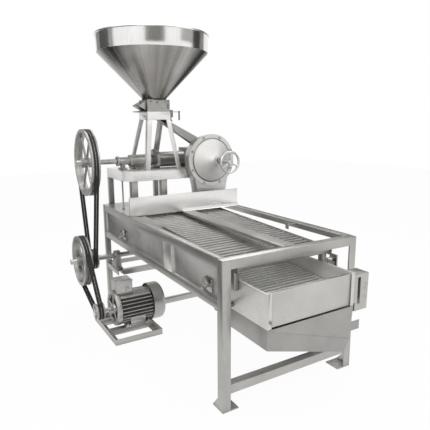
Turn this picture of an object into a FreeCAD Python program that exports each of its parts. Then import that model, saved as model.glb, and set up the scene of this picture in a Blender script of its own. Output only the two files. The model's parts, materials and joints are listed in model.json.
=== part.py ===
import FreeCAD, Part
import math
import os

# Pulse grader: a disc mill under a conical hopper, on a platform at the back of a long table,
# and a shaking box with two slotted decks in the table. Millimetres, +Z up, front towards -Y.
# Every piece is drawn from the table's front left corner on the floor, and moved at the end so
# that the origin is the middle of the whole machine's base.

V = FreeCAD.Vector

# Table of welded angle
table_width = 920.0
table_length = 1860.0
table_height = 820.0
angle_w = 50.0
angle_t = 5.0
foot_side = 100.0
foot_t = 6.0
gusset_h = 60.0
front_tie_z = 100.0
side_rail_drop = 265.0
side_rail_z = table_height - side_rail_drop
side_rail_h = 45.0
mid_post_shift = 362.0
mid_post_y = table_length / 2 - mid_post_shift
mid_post_w = 112.0
panel_depth = 15.0
sheet = 2.5
mid_rail_w = 90.0
mid_rail_h = 18.0

# Deflector, cover plate and platform
deflector_set = 620.0
deflector_y = table_length - deflector_set
deflector_h = 135.0
deck_end_step = 30.0
deck_end_y = deflector_y + deck_end_step
deck_end_w = 50.0
deck_end_t = 6.0
cover_t = 3.0
cross_rail_set = 410.0
cross_rail_y = table_length - cross_rail_set
platform_rise = 300.0
platform_top = table_height + platform_rise
platform_h = 75.0
platform_x = 50.0
platform_inset = 20.0
platform_right = table_width - platform_inset
platform_lead = 20.0
platform_front = cross_rail_y - platform_lead
platform_chamfer = 60.0
platform_t = 5.0
rail_flange = 40.0
post_w = 50.0
front_post_set = 558.0
back_post_set = 450.0
tie_r = 6.0

# Shaking box
box_gap = 165.0
box_front = -150.0
box_back = cross_rail_y
box_h = 188.0
box_drop = 152.0
box_top = table_height - box_drop
box_bottom = box_top - box_h
box_sheet = 3.0
pan_back = 200.0
pan_left_h = 100.0
pan_right_h = 218.0
pan_lean = 40.0
pan_crease_drop = 8.0
pan_crease_slope = 0.2815
pan_setback = 0.7
deck_t = 3.0
lower_deck_rise = 76.0
lower_deck_front_z = box_bottom + lower_deck_rise
lower_deck_slope = 3.3
lower_slot_pitch = 45.0
lower_slot_w = 12.0
upper_gap = 130.0
upper_front = 60.0
upper_back_set = 10.0
upper_back = cross_rail_y - upper_back_set
upper_deck_drop = 72.0
upper_deck_z = table_height - upper_deck_drop
upper_deck_slope = 1.95
upper_slot_pitch = 40.0
upper_slot_w = 14.0
upper_wall_up = 12.0
upper_wall_down = 38.0
guide_w = 20.0
guide_d = 16.0
gate_fit = 0.5
spout_h = 55.0
spout_l = 95.0
spout_w = 80.0
chute_out = 113.0
chute_drop = 223.0

# Hangers and connecting rod
hanger_front_y = 160.0
hanger_back_set = 460.0
hanger_ys = (hanger_front_y, table_length - hanger_back_set)
hanger_pin_drop = 175.0
hanger_pin_z = table_height - hanger_pin_drop
hanger_len = 135.0
hanger_w = 30.0
hanger_t = 8.0
hanger_x = 61.0
pin_r = 8.0
pin_fit = 0.05
low_pin_fit = 0.25
rod_pin_set = 440.0
rod_pin_y = table_length - rod_pin_set
rod_pin_drop = 30.0
rod_t = 20.0

# Drive. Every shaft lies along X
shaft_r = 20.0
drive_set = 216.0
drive_y = table_length - drive_set
drive_rise = 66.0
drive_z = platform_top + drive_rise
big_pulley_r = 249.0
jack_small_r = 80.0
jack_big_r = 194.5
motor_pulley_r = 60.0
upper_belt_x = -170.0
lower_belt_x = -250.0
pulley_w = 60.0
hub_r = 36.0
groove_w = 17.0
groove_bottom_w = 12.0
groove_depth = 13.0
arm_turn = 30.0
groove_pitch = 19.0
belt_w = 11.0
belt_h = 9.0
belt_clear = 0.4
eccentric_r = 35.0
eccentric_throw = 6.0
strap_clear = 16.0
strap_wall = 18.0
jack_left = -340.0
jack_inset = 280.0
jack_right = table_width - jack_inset
jack_rail_drop = 525.0
jack_rail_z = table_height - jack_rail_drop
jack_rise = 141.0
jack_z = jack_rail_z + jack_rise
jack_rail_h = 40.0
jack_front_set = 310.0
jack_front_y = table_length - jack_front_set
bearer_inset = 330.0
bearer_x = table_width - bearer_inset
block_w = 50.0
eccentric_x = table_width / 2

# Motor on its base
base_x = -226.0
base_set = 865.0
base_y = table_length - base_set
motor_body_l = 240.0
base_margin = 103.0
base_w = motor_body_l + base_margin
base_l = 485.0
base_h = 43.0
base_t = 4.0
motor_on_base = 267.0
motor_y = base_y + motor_on_base
motor_shaft_h = 114.0
motor_r = 112.0
bell_r = 128.0
motor_shaft_r = 14.0
motor_front_x = -156.0
motor_body_x = -120.0
cowl_l = 95.0
cowl_r = 138.0
fin_h = 14.0
fin_t = 6.0
fin_count = 28

# Shaft housing and right-angle gear case
housing_x = 60.0
housing_r = 30.0
neck_set = 522.0
neck_x = table_width - neck_set
neck_flanges = 28.0
bearing_end = neck_x - neck_flanges
bearing_x = housing_x + (bearing_end - housing_x) * 10 / 31
bearing_r = 46.0
flange_r = 85.0
flange_t = 14.0
neck_r = 60.0
case_w = 180.0
case_l = 200.0
case_wall = 14.0
bevel_r = 50.0
bevel_face = 26.0
bevel_gap = 0.5

# Mill
mill_inset = 190.0
mill_x = table_width - mill_inset
mill_r = 190.0
mill_wall = 10.0
mill_lead = 5.0
mill_back = platform_front - mill_lead
mill_depth = 88.0
mill_front = mill_back - mill_depth
ring_r = 203.0
ring_t = 8.0
ring_inner = 172.0
cover_depth = 84.0
cover_boss_r = 38.0
cover_boss_l = 34.0
cover_shell = 5.0
duct_half = 130.0
duct_hole_drop = 5.0
stone_r = 160.0
stone_t = 24.0
stone_gap = 2.5
screw_r = 12.0
screw_reach = 277.0
screw_front = mill_front - screw_reach
wheel_r = 85.0
wheel_rim_r = 8.5
cup_travel = 2.0

# Hopper, its stand and gate
hopper_shift = 116.0
hopper_x = table_width / 2 - hopper_shift
hopper_lead = 112.0
hopper_y = drive_y - hopper_lead
hopper_r = 420.0
hopper_low_r = 413.0
hopper_rise = 986.0
hopper_top = platform_top + hopper_rise
hopper_band_h = 119.0
hopper_band = hopper_top - hopper_band_h
hopper_neck_rise = 528.0
hopper_neck_z = platform_top + hopper_neck_rise
hopper_neck_r = 84.0
hopper_wall = 3.0
bead_r = 6.0
outlet_half_x = 92.0
outlet_half_y = 80.0
gate_rise = 439.0
gate_z = platform_top + gate_rise
gate_t = 4.0
gate_travel = 55.0
gate_fit_z = 0.4
gate_window_x = 44.0
gate_window_y = 90.0
head_rise = 380.0
head_z = platform_top + head_rise
head_half_x = 95.0
head_half_y = 83.0
stand_leg_w = 36.0
stand_leg_t = 4.0
stand_feet = ((-122.0, -86.0), (176.0, -86.0), (-144.0, 232.0), (98.0, 248.0))
gate_bar_w = 22.0
gate_bar_l = 118.0
chute_w = 54.0
chute_flare = 80.0
chute_knee_h = 52.0
neck_t = 4.0

mid_x = table_width / 2
deck_level = table_height + cover_t
gear_x = mill_x
head_h = gate_z - gate_fit_z - head_z
motor_z = base_h + motor_shaft_h
shapes = {}


def box(x0, y0, z0, x1, y1, z1):
    """A block from its low corner to its high corner."""
    return Part.makeBox(x1 - x0, y1 - y0, z1 - z0, V(x0, y0, z0))


def rod_x(x0, x1, y, z, r):
    return Part.makeCylinder(r, x1 - x0, V(x0, y, z), V(1, 0, 0))


def rod_y(y0, y1, x, z, r):
    return Part.makeCylinder(r, y1 - y0, V(x, y0, z), V(0, 1, 0))


def rod_z(z0, z1, x, y, r):
    return Part.makeCylinder(r, z1 - z0, V(x, y, z0), V(0, 0, 1))


def tube_x(x0, x1, y, z, r_out, r_in):
    return rod_x(x0, x1, y, z, r_out).cut(rod_x(x0, x1, y, z, r_in))


def tube_y(y0, y1, x, z, r_out, r_in):
    return rod_y(y0, y1, x, z, r_out).cut(rod_y(y0, y1, x, z, r_in))


def hex_y(y0, y1, x, z, r):
    """A hexagon head whose axis is along Y."""
    turn = [math.radians(60 * k) for k in range(7)]
    return prism([V(x + r * math.cos(a), y0, z + r * math.sin(a)) for a in turn], V(0, y1 - y0, 0))


def hex_x(x0, x1, y, z, r):
    turn = [math.radians(60 * k) for k in range(7)]
    return prism([V(x0, y + r * math.cos(a), z + r * math.sin(a)) for a in turn], V(x1 - x0, 0, 0))


def hex_z(z0, z1, x, y, r):
    turn = [math.radians(60 * k) for k in range(7)]
    return prism([V(x + r * math.cos(a), y + r * math.sin(a), z0) for a in turn], V(0, 0, z1 - z0))


def prism(points, vector):
    """An outline, closed or not, pushed along a vector."""
    if not points[0].isEqual(points[-1], 1e-6):
        points = points + [points[0]]
    return Part.Face(Part.makePolygon(points)).extrude(vector)


def prism_y(outline, y0, y1):
    return prism([V(x, y0, z) for x, z in outline], V(0, y1 - y0, 0))


def prism_x(outline, x0, x1):
    return prism([V(x0, y, z) for y, z in outline], V(x1 - x0, 0, 0))


def prism_z(outline, z0, z1):
    return prism([V(x, y, z0) for x, y in outline], V(0, 0, z1 - z0))


def turned(profile, place, axis):
    """A profile of (radius, height) turned about an axis through a place."""
    wire = Part.makePolygon([V(r, 0, h) for r, h in profile + [profile[0]]])
    solid = Part.Face(wire).revolve(V(0, 0, 0), V(0, 0, 1), 360)
    solid.Placement = FreeCAD.Placement(place, FreeCAD.Rotation(V(0, 0, 1), axis))
    return solid


def fuse(pieces):
    whole = pieces[0]
    if len(pieces) > 1:
        whole = pieces[0].multiFuse(pieces[1:])
    return whole.removeSplitter()


def group(pieces):
    """Separate solids that share one name."""
    return Part.makeCompound([s for p in pieces for s in p.Solids])


def mirror_x(shape, x):
    return shape.mirror(V(x, 0, 0), V(1, 0, 0))


def both_sides(shape):
    return [shape, mirror_x(shape, mid_x)]


def angle_section(a, b, t):
    """An L section from its outer corner: a along the first side, b along the second."""
    return [(0, 0), (a, 0), (a, t), (t, t), (t, b), (0, b)]


def placed(section, u0, v0, su, sv):
    return [(u0 + su * u, v0 + sv * v) for u, v in section]


# Table

def leg_angles():
    section = angle_section(angle_w, angle_w, angle_t)
    top = table_height - angle_t
    pieces = []
    for y0, sy in ((0, 1), (table_length, -1)):
        leg = prism_z(placed(section, 0, y0, 1, sy), foot_t, top)
        pieces += both_sides(leg)
    return group(pieces)


def feet():
    pieces = []
    for y0, sy in ((0, 1), (table_length, -1)):
        y1 = y0 + sy * foot_side
        plate = box(0, min(y0, y1), 0, foot_side, max(y0, y1), foot_t)
        ya = y0 + sy * angle_w
        gusset = prism_x([(ya, foot_t), (y1, foot_t), (ya, foot_t + gusset_h)], 0, angle_t)
        pieces += both_sides(fuse([plate, gusset]))
    return group(pieces)


def legs():
    """Each leg welded to its foot plate."""
    pieces = []
    plates = feet().Solids
    for leg in leg_angles().Solids:
        below = V(leg.CenterOfMass.x, leg.CenterOfMass.y, 0)
        near = min(plates, key=lambda p: p.CenterOfMass.distanceToPoint(below))
        pieces.append(fuse([leg, near]))
    return group(pieces)


def top_rails():
    end = angle_section(angle_w, angle_w, angle_t)
    z1 = table_height
    front_flange = box(0, 0, z1 - angle_t, table_width, angle_w, z1)
    front_web = box(angle_w, 0, z1 - angle_w, table_width - angle_w, angle_t, z1)
    front = fuse([front_flange, front_web])
    back = front.mirror(V(0, table_length / 2, 0), V(0, 1, 0))
    side = prism([V(u, angle_w, z) for u, z in placed(end, 0, z1, 1, -1)],
                 V(0, table_length - 2 * angle_w, 0))
    return group([front, back] + both_sides(side))


def mid_rail():
    """A shallow channel, open below, between the front rail and the deck end bar."""
    half = mid_rail_w / 2
    z1 = table_height
    outer = box(mid_x - half, angle_w, z1 - mid_rail_h, mid_x + half, deck_end_y, z1)
    inner = box(mid_x - half + sheet, angle_w, z1 - mid_rail_h, mid_x + half - sheet,
                deck_end_y, z1 - sheet)
    return outer.cut(inner)


def deck_end_bar():
    x0 = angle_w
    return box(x0, deck_end_y, table_height - deck_end_t, table_width - x0,
               deck_end_y + deck_end_w, table_height)


def platform_cross_rail():
    section = placed(angle_section(angle_w, angle_w, angle_t), cross_rail_y, table_height, 1, -1)
    return prism_x(section, angle_w, table_width - angle_w)


def front_tie():
    section = placed(angle_section(angle_w, angle_w, angle_t), 0, front_tie_z + angle_w, 1, -1)
    return prism_x(section, angle_w, table_width - angle_w)


def side_lower_rails():
    section = placed(angle_section(angle_w, side_rail_h, angle_t), 0, side_rail_z, 1, 1)
    rail = prism([V(x, angle_w, z) for x, z in section], V(0, table_length - 2 * angle_w, 0))
    return group(both_sides(rail))


def side_mid_post():
    """A wide folded upright between the two side panels."""
    z0 = side_rail_z + side_rail_h
    z1 = table_height - angle_w
    y1 = mid_post_y + mid_post_w
    outer = box(0, mid_post_y, z0, panel_depth, y1, z1)
    inner = box(angle_t, mid_post_y + angle_t, z0, panel_depth, y1 - angle_t, z1)
    return outer.cut(inner)


def side_panel(y0, y1):
    """A pan-shaped panel set in behind the rails, with its hollow outwards."""
    z0 = side_rail_z + side_rail_h
    z1 = table_height - angle_w
    x0 = angle_t
    x1 = angle_t + panel_depth + sheet
    outer = box(x0, y0 - sheet, z0 - sheet, x1, y1 + sheet, z1 + sheet)
    return outer.cut(box(x0, y0, z0, x1 - sheet, y1, z1))


def side_panels():
    clear = sheet + 0.1
    first = side_panel(angle_w, mid_post_y - clear)
    second = side_panel(mid_post_y + mid_post_w + clear, table_length - angle_w)
    return group([first, second])


def jack_rails():
    """Low rails between the back legs and forward of them, which carry the countershaft."""
    z0 = jack_rail_z
    z1 = jack_rail_z + jack_rail_h
    section = angle_section(jack_rail_h, jack_rail_h, angle_t)
    back = prism_x(placed(section, table_length, z1, -1, -1), angle_w, table_width - angle_w)
    front = prism_x(placed(section, jack_front_y, z1, 1, -1), jack_rail_h, table_width - jack_rail_h)
    side_section = placed(section, 0, z1, 1, -1)
    length = table_length - angle_w - jack_front_y
    side = prism([V(x, jack_front_y, z) for x, z in side_section], V(0, length, 0))
    bearer = box(bearer_x, jack_front_y + jack_rail_h, z0, bearer_x + block_w,
                 table_length - jack_rail_h, z1)
    left_block = box(jack_rail_h, drive_y - 60, z0, jack_rail_h + 16, drive_y + 60, z1)
    return group([back, front, bearer, left_block] + both_sides(side))


def deflector():
    """The upright plate across the table that keeps the meal on the decks."""
    y0 = deflector_y
    z0 = table_height
    z1 = table_height + deflector_h
    x0 = angle_t
    x1 = table_width - angle_t
    face = box(x0, y0, z0, x1, y0 + cover_t, z1)
    foot = box(x0, y0, z0, x1, deck_end_y, z0 + cover_t)
    fold = box(x0, y0, z1 - cover_t, x1, y0 + 14, z1)
    ends = both_sides(box(x0, y0, z0, x0 + cover_t, y0 + 22, z1))
    return fuse([face, foot, fold] + ends)


def deflector_strip():
    y1 = deflector_y
    section = placed(angle_section(26, 20, 3), y1, table_height, -1, 1)
    return prism_x(section, mid_x - 40, table_width)


def duct_outline(grow):
    """Mill casing seen from the front: the round chamber and the duct that narrows below it."""
    r = mill_r - grow
    half = duct_half - grow
    z_side = drive_z - 0.36 * r
    x_side = math.sqrt(r * r - (0.36 * r) ** 2)
    z_low = table_height - duct_hole_drop
    a = V(mill_x - x_side, 0, z_side)
    b = V(mill_x + x_side, 0, z_side)
    top = V(mill_x, 0, drive_z + r)
    neck = table_height + 95
    arc = Part.Arc(a, top, b).toShape()
    bend = 0.28 * (x_side - half)
    right = Part.Arc(b, V(mill_x + half + bend, 0, (z_side + neck) / 2), V(mill_x + half, 0, neck))
    left = Part.Arc(V(mill_x - half, 0, neck), V(mill_x - half - bend, 0, (z_side + neck) / 2), a)
    low = Part.makePolygon([V(mill_x + half, 0, neck), V(mill_x + half, 0, z_low),
                            V(mill_x - half, 0, z_low), V(mill_x - half, 0, neck)])
    return Part.Wire([arc, right.toShape()] + low.Edges + [left.toShape()])


def casing_solid(grow, y0, y1):
    face = Part.Face(duct_outline(grow))
    face.translate(V(0, y0, 0))
    return face.extrude(V(0, y1 - y0, 0))


def rear_cover():
    """The plate on the table behind the deflector, cut out round the mill's duct."""
    plate = box(0, deck_end_y, table_height, table_width, table_length, deck_level)
    x0 = mill_x - duct_half
    hole = box(x0, mill_front - ring_t, table_height - 1, x0 + 2 * duct_half, mill_back, deck_level + 1)
    return plate.cut(hole)


def platform_rails():
    """Four channel members under the platform plate; the front left corner is cut off."""
    z1 = platform_top - platform_t
    z0 = platform_top - platform_h
    f = rail_flange
    t = platform_t
    x0, x1 = platform_x, platform_right
    y0, y1 = platform_front, table_length

    def channel(w):
        h = z1 - z0
        return [(0, 0), (w, 0), (w, t), (t, t), (t, h - t), (w, h - t), (w, h), (0, h)]

    c = platform_chamfer
    front = prism_x([(y0 + u, z0 + v) for u, v in channel(f)], x0 + c, x1 - f)
    back = prism_x([(y1 - u, z0 + v) for u, v in channel(f)], x0 + f, x1 - f)
    left = prism([V(x0 + u, y0 + c, z0 + v) for u, v in channel(f)], V(0, y1 - y0 - c, 0))
    right = prism([V(x1 - u, y0, z0 + v) for u, v in channel(f)], V(0, y1 - y0, 0))
    corner = prism_z([(x0, y0 + c), (x0 + c, y0), (x0 + c, y0 + t * 1.4), (x0 + t * 1.4, y0 + c)], z0, z1)
    left = left.cut(box(x0 - 1, y0, z0, x0 + f + 1, y0 + c, z1))
    return group([front, back, left, right, corner])


def platform_plate():
    c = platform_chamfer
    x0, x1 = platform_x, platform_right
    y0, y1 = platform_front, table_length
    outline = [(x0 + c, y0), (x1, y0), (x1, y1), (x0, y1), (x0, y0 + c)]
    return prism_z(outline, platform_top - platform_t, platform_top)


def platform_posts():
    z0 = deck_level
    z1 = platform_top - platform_h
    y0 = cross_rail_y - 8
    y1 = table_length - post_w
    t = angle_t
    section = angle_section(post_w, post_w, t)
    pieces = []
    front_xs = (platform_x + 50, platform_right - front_post_set, platform_right - post_w)
    back_xs = (platform_x, platform_right - back_post_set, platform_right - post_w)
    for x in front_xs:
        pieces.append(prism_z(placed(section, x, y0, 1, 1), z0, z1))
    for x in back_xs:
        pieces.append(prism_z(placed(section, x, y1 + post_w, 1, -1), z0, z1))
    return group(pieces)


def tie_rod():
    x = platform_x + rail_flange / 2
    y = cross_rail_y + 110
    z0 = deck_level
    z1 = platform_top - platform_h
    body = rod_z(z0, z1, x, y, tie_r)
    low = hex_z(z0, z0 + 8, x, y, 2 * tie_r)
    high = hex_z(z1 - 8, z1, x, y, 2 * tie_r)
    return fuse([body, low, high])


# Shaking box

def box_walls():
    x0 = box_gap
    wall = box(x0, box_front, box_bottom, x0 + box_sheet, box_back, box_top)
    lip = box(x0 - 8, box_front, box_top - box_sheet, x0, box_back, box_top)
    side = fuse([wall, lip])
    right = mirror_x(side, mid_x)
    window = box(table_width - x0 - 2 * box_sheet, box_front + 24, lower_deck_front_z + 14,
                 table_width - x0 + 1, box_front + 84, box_top - 26)
    right = right.cut(window)
    rear = box(x0 + box_sheet, box_back - box_sheet, box_bottom, table_width - x0 - box_sheet,
               box_back, box_top)
    return group([side, right, rear])


def tray_floor():
    x0 = box_gap + box_sheet
    floor = box(x0, pan_back, box_bottom, table_width - x0, box_back - box_sheet, box_bottom + box_sheet)
    lip = box(x0, pan_back, box_bottom + box_sheet, table_width - x0, pan_back + box_sheet, box_bottom + 14)
    return fuse([floor, lip])


def front_sill():
    x0 = box_gap + box_sheet
    y0 = box_front + guide_d + 4
    return box(x0, y0, box_bottom, table_width - x0, y0 + 20, box_bottom + 6)


def plate_slot():
    """Front and back of the slot in which the front plate slides."""
    y0 = box_front + 5.0
    return y0, y0 + box_sheet + 2 * gate_fit


def plate_guides():
    """Upright channels at the mouth of the box, which hold the front plate."""
    x0 = box_gap + box_sheet
    y0, y1 = plate_slot()
    outer = box(x0, box_front, box_bottom + 2, x0 + guide_w, box_front + guide_d, box_top)
    slot = box(x0 + 4, y0, box_bottom + 2, x0 + guide_w, y1, box_top)
    return group(both_sides(outer.cut(slot)))


def front_plate():
    """The sliding plate that holds the grain back on the lower deck."""
    y0, y1 = plate_slot()
    x0 = box_gap + box_sheet + 4 + gate_fit
    z0 = box_bottom + 8
    plate = box(x0, y0 + gate_fit, z0, table_width - x0, y1 - gate_fit, box_top)
    x2 = box_gap + box_sheet + guide_w + gate_fit
    fold = box(x2, y1 - gate_fit, box_top - box_sheet, table_width - x2, y1 + 9, box_top)
    return fuse([plate, fold])


def pan_solid():
    """The collecting pan: a leaning floor that falls to the right and a front creased inwards."""
    x0, x1 = box_gap, table_width - box_gap
    zt = box_bottom
    zl = zt - pan_left_h
    zr = zt - pan_right_h
    xr = x1 - pan_lean
    y0, y1 = box_front, pan_back
    lean = pan_lean / pan_right_h

    def crease_z(x):
        return zt - pan_crease_drop - pan_crease_slope * (x - x0)

    def front_y(x, z):
        return y0 + pan_setback * max(0.0, crease_z(x) - z)

    k = pan_crease_slope
    zc = (zt - pan_crease_drop - k * (x1 - x0) + k * lean * zt) / (1 + k * lean)
    xc = x1 - lean * (zt - zc)
    tl, tr = V(x0, y0, zt), V(x1, y0, zt)
    cl, cr = V(x0, y0, crease_z(x0)), V(xc, y0, zc)
    bl, br = V(x0, front_y(x0, zl), zl), V(xr, front_y(xr, zr), zr)
    tlb, trb = V(x0, y1, zt), V(x1, y1, zt)
    blb, brb = V(x0, y1, zl), V(xr, y1, zr)
    faces = [[tl, tr, cr, cl], [cl, cr, br, bl], [bl, br, brb, blb], [tl, cl, bl, blb, tlb],
             [tr, cr, br, brb, trb], [tlb, trb, brb, blb], [tl, tr, trb, tlb]]
    shell = Part.makeShell([Part.Face(Part.makePolygon(f + [f[0]])) for f in faces])
    solid = Part.makeSolid(shell)
    if solid.Volume < 0:
        solid.reverse()
    return solid


def pan():
    solid = pan_solid()
    top = max(solid.Faces, key=lambda f: f.CenterOfMass.z)
    hollow = solid.makeThickness([top], -box_sheet, 0.01)
    y0, y1, z0 = spout_place()
    x0 = table_width - box_gap - pan_lean - 12
    window = box(x0, y0 + box_sheet, z0 + box_sheet, table_width - box_gap, y1 - box_sheet, z0 + spout_h)
    return hollow.cut(window)




def spout_place():
    """Front, back and underside of the spout on the pan's right end."""
    y0 = box_front + 34
    z0 = box_bottom - pan_right_h + 48
    return y0, y0 + spout_w, z0


def lower_spout():
    y0, y1, z0 = spout_place()
    x1 = table_width - box_gap + spout_l
    x0 = table_width - box_gap - pan_lean - 10
    outer = box(x0, y0, z0, x1, y1, z0 + spout_h)
    inner = box(x0, y0 + box_sheet, z0 + box_sheet, x1, y1 - box_sheet, z0 + spout_h)
    return outer.cut(inner).cut(pan_solid())




def side_chute():
    """The folded channel on the right of the box: overs fall through it."""
    x0 = table_width - box_gap
    x1 = x0 + chute_out
    y0 = box_front + 2
    y1 = y0 + 92
    z1 = box_top - 12
    z0 = z1 - chute_drop + 10
    t = box_sheet
    outline = [(x0, z1), (x1, z1 - 3), (x1 - 4, z0), (x0 + 12, z0), (x0 + 12, z0 + 50), (x0, z0 + 50)]
    outer = prism_y(outline, y0, y1)
    inner = prism_y([(x0, z1 - t), (x1 - t, z1 - 3 - t), (x1 - 4 - t, z0), (x0 + 12 + t, z0),
                     (x0 + 12 + t, z0 + 50 + t), (x0, z0 + 50 + t)], y0 + t, y1 - t)
    recess = box(x0 + 30, y0, z0 + 40, x0 + 52, y0 + t, z1 - 20)
    return outer.cut(inner).cut(recess)


def chute_bolts():
    x = table_width - box_gap + chute_out - 20
    y0 = box_front + 2
    z1 = box_top - 12
    heads = []
    for drop in (62, 92, 138):
        heads.append(hex_y(y0 - 5, y0, x, z1 - drop, 6))
    return group(heads)


def tilt(shape, degrees, y, z):
    shape.rotate(V(0, y, z), V(1, 0, 0), degrees)
    return shape


def slots(x0, x1, y0, y1, pitch, width, z0, z1, across):
    """Rows of long slots across the deck; every other row is shifted by half a slot."""
    land = 14.0
    length = (x1 - x0 - land) / across - land
    step = length + land
    tools = []
    row = 0
    y = y0
    while y + width <= y1:
        shift = 0.5 * step if row % 2 else 0.0
        for k in range(-1, across + 1):
            a = max(x0 + land + k * step + shift, x0 + land)
            b = min(x0 + land + k * step + shift + length, x1 - land)
            if b - a > land:
                tools.append(box(a, y, z0, b, y + width, z1))
        y += pitch
        row += 1
    return tools


def lower_deck():
    x0 = box_gap + box_sheet
    x1 = table_width - x0
    y0 = box_front + guide_d + 2
    y1 = box_back - box_sheet - 6
    z0 = lower_deck_front_z
    plate = box(x0, y0, z0, x1, y1, z0 + deck_t)
    rows = slots(x0 + 6, x1 - 6, y0 + 20, y1 - 30, lower_slot_pitch, lower_slot_w, z0 - 1, z0 + deck_t + 1, 2)
    return tilt(plate.cut(Part.makeCompound(rows)), lower_deck_slope, y0, z0)


def deck_ledges():
    """Angle strips under the edges of the lower deck."""
    x0 = box_gap + box_sheet
    y0 = box_front + guide_d + 2
    y1 = box_back - box_sheet - 20
    z0 = lower_deck_front_z
    section = placed(angle_section(20, 20, 3), x0, z0, 1, -1)
    strip = prism([V(x, y0, z) for x, z in section], V(0, y1 - y0, 0))
    return group(both_sides(tilt(strip, lower_deck_slope, y0, z0)))


def upper_deck():
    x0 = upper_gap + box_sheet
    x1 = table_width - x0
    z0 = upper_deck_z
    plate = box(x0, upper_front, z0, x1, upper_back, z0 + deck_t)
    rows = slots(x0 + 6, x1 - 6, upper_front + 20, upper_back - 30, upper_slot_pitch, upper_slot_w,
                 z0 - 1, z0 + deck_t + 1, 2)
    return tilt(plate.cut(Part.makeCompound(rows)), upper_deck_slope, upper_front, z0)


def upper_frame():
    """Side walls and cross bars that hold the upper deck."""
    x0 = upper_gap
    x1 = x0 + box_sheet
    z0 = upper_deck_z
    wall = box(x0, upper_front, z0 - upper_wall_down, x1, upper_back, z0 + upper_wall_up)
    sides = both_sides(wall)
    bars = []
    span = upper_back - upper_front
    for k in range(5):
        y = upper_front + 10 + k * (span - 40) / 4
        bars.append(box(x1, y, z0 - 22, table_width - x1, y + 20, z0))
    return group([tilt(s, upper_deck_slope, upper_front, z0) for s in sides + bars])


def risers():
    """Square posts that carry the upper frame on the walls of the box."""
    x0 = upper_gap + box_sheet
    x1 = box_gap
    pieces = []
    for y in (100.0, upper_back - 800, upper_back - 200):
        rise = (y - upper_front) * math.tan(math.radians(upper_deck_slope))
        z1 = upper_deck_z - 24 + rise
        post = box(x0, y, box_top - 60, x1, y + 36, z1)
        notch = box(box_gap - 8 - 0.4, y - 1, box_top - box_sheet - 0.4, x1 + 1, y + 37, box_top + 0.4)
        pieces += both_sides(post.cut(notch))
    return group(pieces)


# Hangers, pins and connecting rod

def hanger(y):
    x0 = hanger_x
    x1 = x0 + hanger_t
    z1 = hanger_pin_z
    z0 = z1 - hanger_len
    half = hanger_w / 2
    strap = box(x0, y - half, z0, x1, y + half, z1)
    ends = [rod_x(x0, x1, y, z, half) for z in (z0, z1)]
    body = fuse([strap] + ends)
    body = body.cut(rod_x(x0 - 1, x1 + 1, y, z1, pin_r + pin_fit))
    return body.cut(rod_x(x0 - 1, x1 + 1, y, z0, pin_r + low_pin_fit))


def upper_pins():
    """Pins on which the hangers swing: through the left panels, and on plates at the right."""
    pieces = []
    inner = angle_t + panel_depth + sheet
    for y in hanger_ys:
        left = rod_x(inner, hanger_x + hanger_t + 5, y, hanger_pin_z, pin_r)
        head = rod_x(hanger_x + hanger_t + 0.3, hanger_x + hanger_t + 5, y, hanger_pin_z, pin_r + 5)
        collar = rod_x(inner, hanger_x - 0.3, y, hanger_pin_z, pin_r + 6)
        whole = fuse([left, head, collar])
        pieces.append(whole)
        right = mirror_x(whole, mid_x)
        pad = rod_x(table_width - inner, table_width - angle_t - 10, y, hanger_pin_z, pin_r + 6)
        pieces.append(fuse([right, pad]))
    return group(pieces)


def lower_pins():
    pieces = []
    for y in hanger_ys:
        z = hanger_pin_z - hanger_len
        pin = rod_x(hanger_x - 5, box_gap, y, z, pin_r)
        head = rod_x(hanger_x - 5, hanger_x - 0.3, y, z, pin_r + 5)
        collar = rod_x(hanger_x + hanger_t + 0.3, box_gap, y, z, pin_r + 6)
        pieces += both_sides(fuse([pin, head, collar]))
    return group(pieces)


def hanger_plates():
    """Plates in the hollow of the left panels, and uprights on the right lower rail."""
    pieces = []
    x1 = angle_t + panel_depth
    for y in hanger_ys:
        z = hanger_pin_z
        pieces.append(box(x1 - 8, y - 38, z - 28, x1, y + 38, z + 42))
        x2 = table_width - angle_t
        pieces.append(box(x2 - 10, y - 30, side_rail_z + angle_t, x2, y + 30, z + 30))
    return group(pieces)


def clamp_knob(y):
    """A screw with a hooked handle, outside the left panel."""
    x1 = angle_t + panel_depth - 8
    z = hanger_pin_z
    stem = rod_x(x1 - 30, x1 - 0.3, y, z, 7)
    boss = rod_x(x1 - 38, x1 - 20, y, z, 12)
    arm = rod_z(z - 8, z + 46, x1 - 29, y, 4.5)
    foot = rod_y(y - 20, y, x1 - 29, z + 42, 4.5)
    return fuse([stem, boss, arm, foot])


def rod_lug():
    """Two ears below the rear of the tray floor, with the pin of the connecting rod."""
    x0 = eccentric_x
    z1 = box_bottom
    zp = z1 - rod_pin_drop
    gap = rod_t / 2 + 0.3
    pieces = []
    for s in (-1, 1):
        a = x0 + s * gap
        b = x0 + s * (gap + 8)
        pieces.append(box(min(a, b), rod_pin_y - 16, zp - 14, max(a, b), rod_pin_y + 16, z1))
    pin = rod_x(x0 - gap - 12, x0 + gap + 12, rod_pin_y, zp, pin_r)
    return fuse(pieces + [pin])


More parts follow.
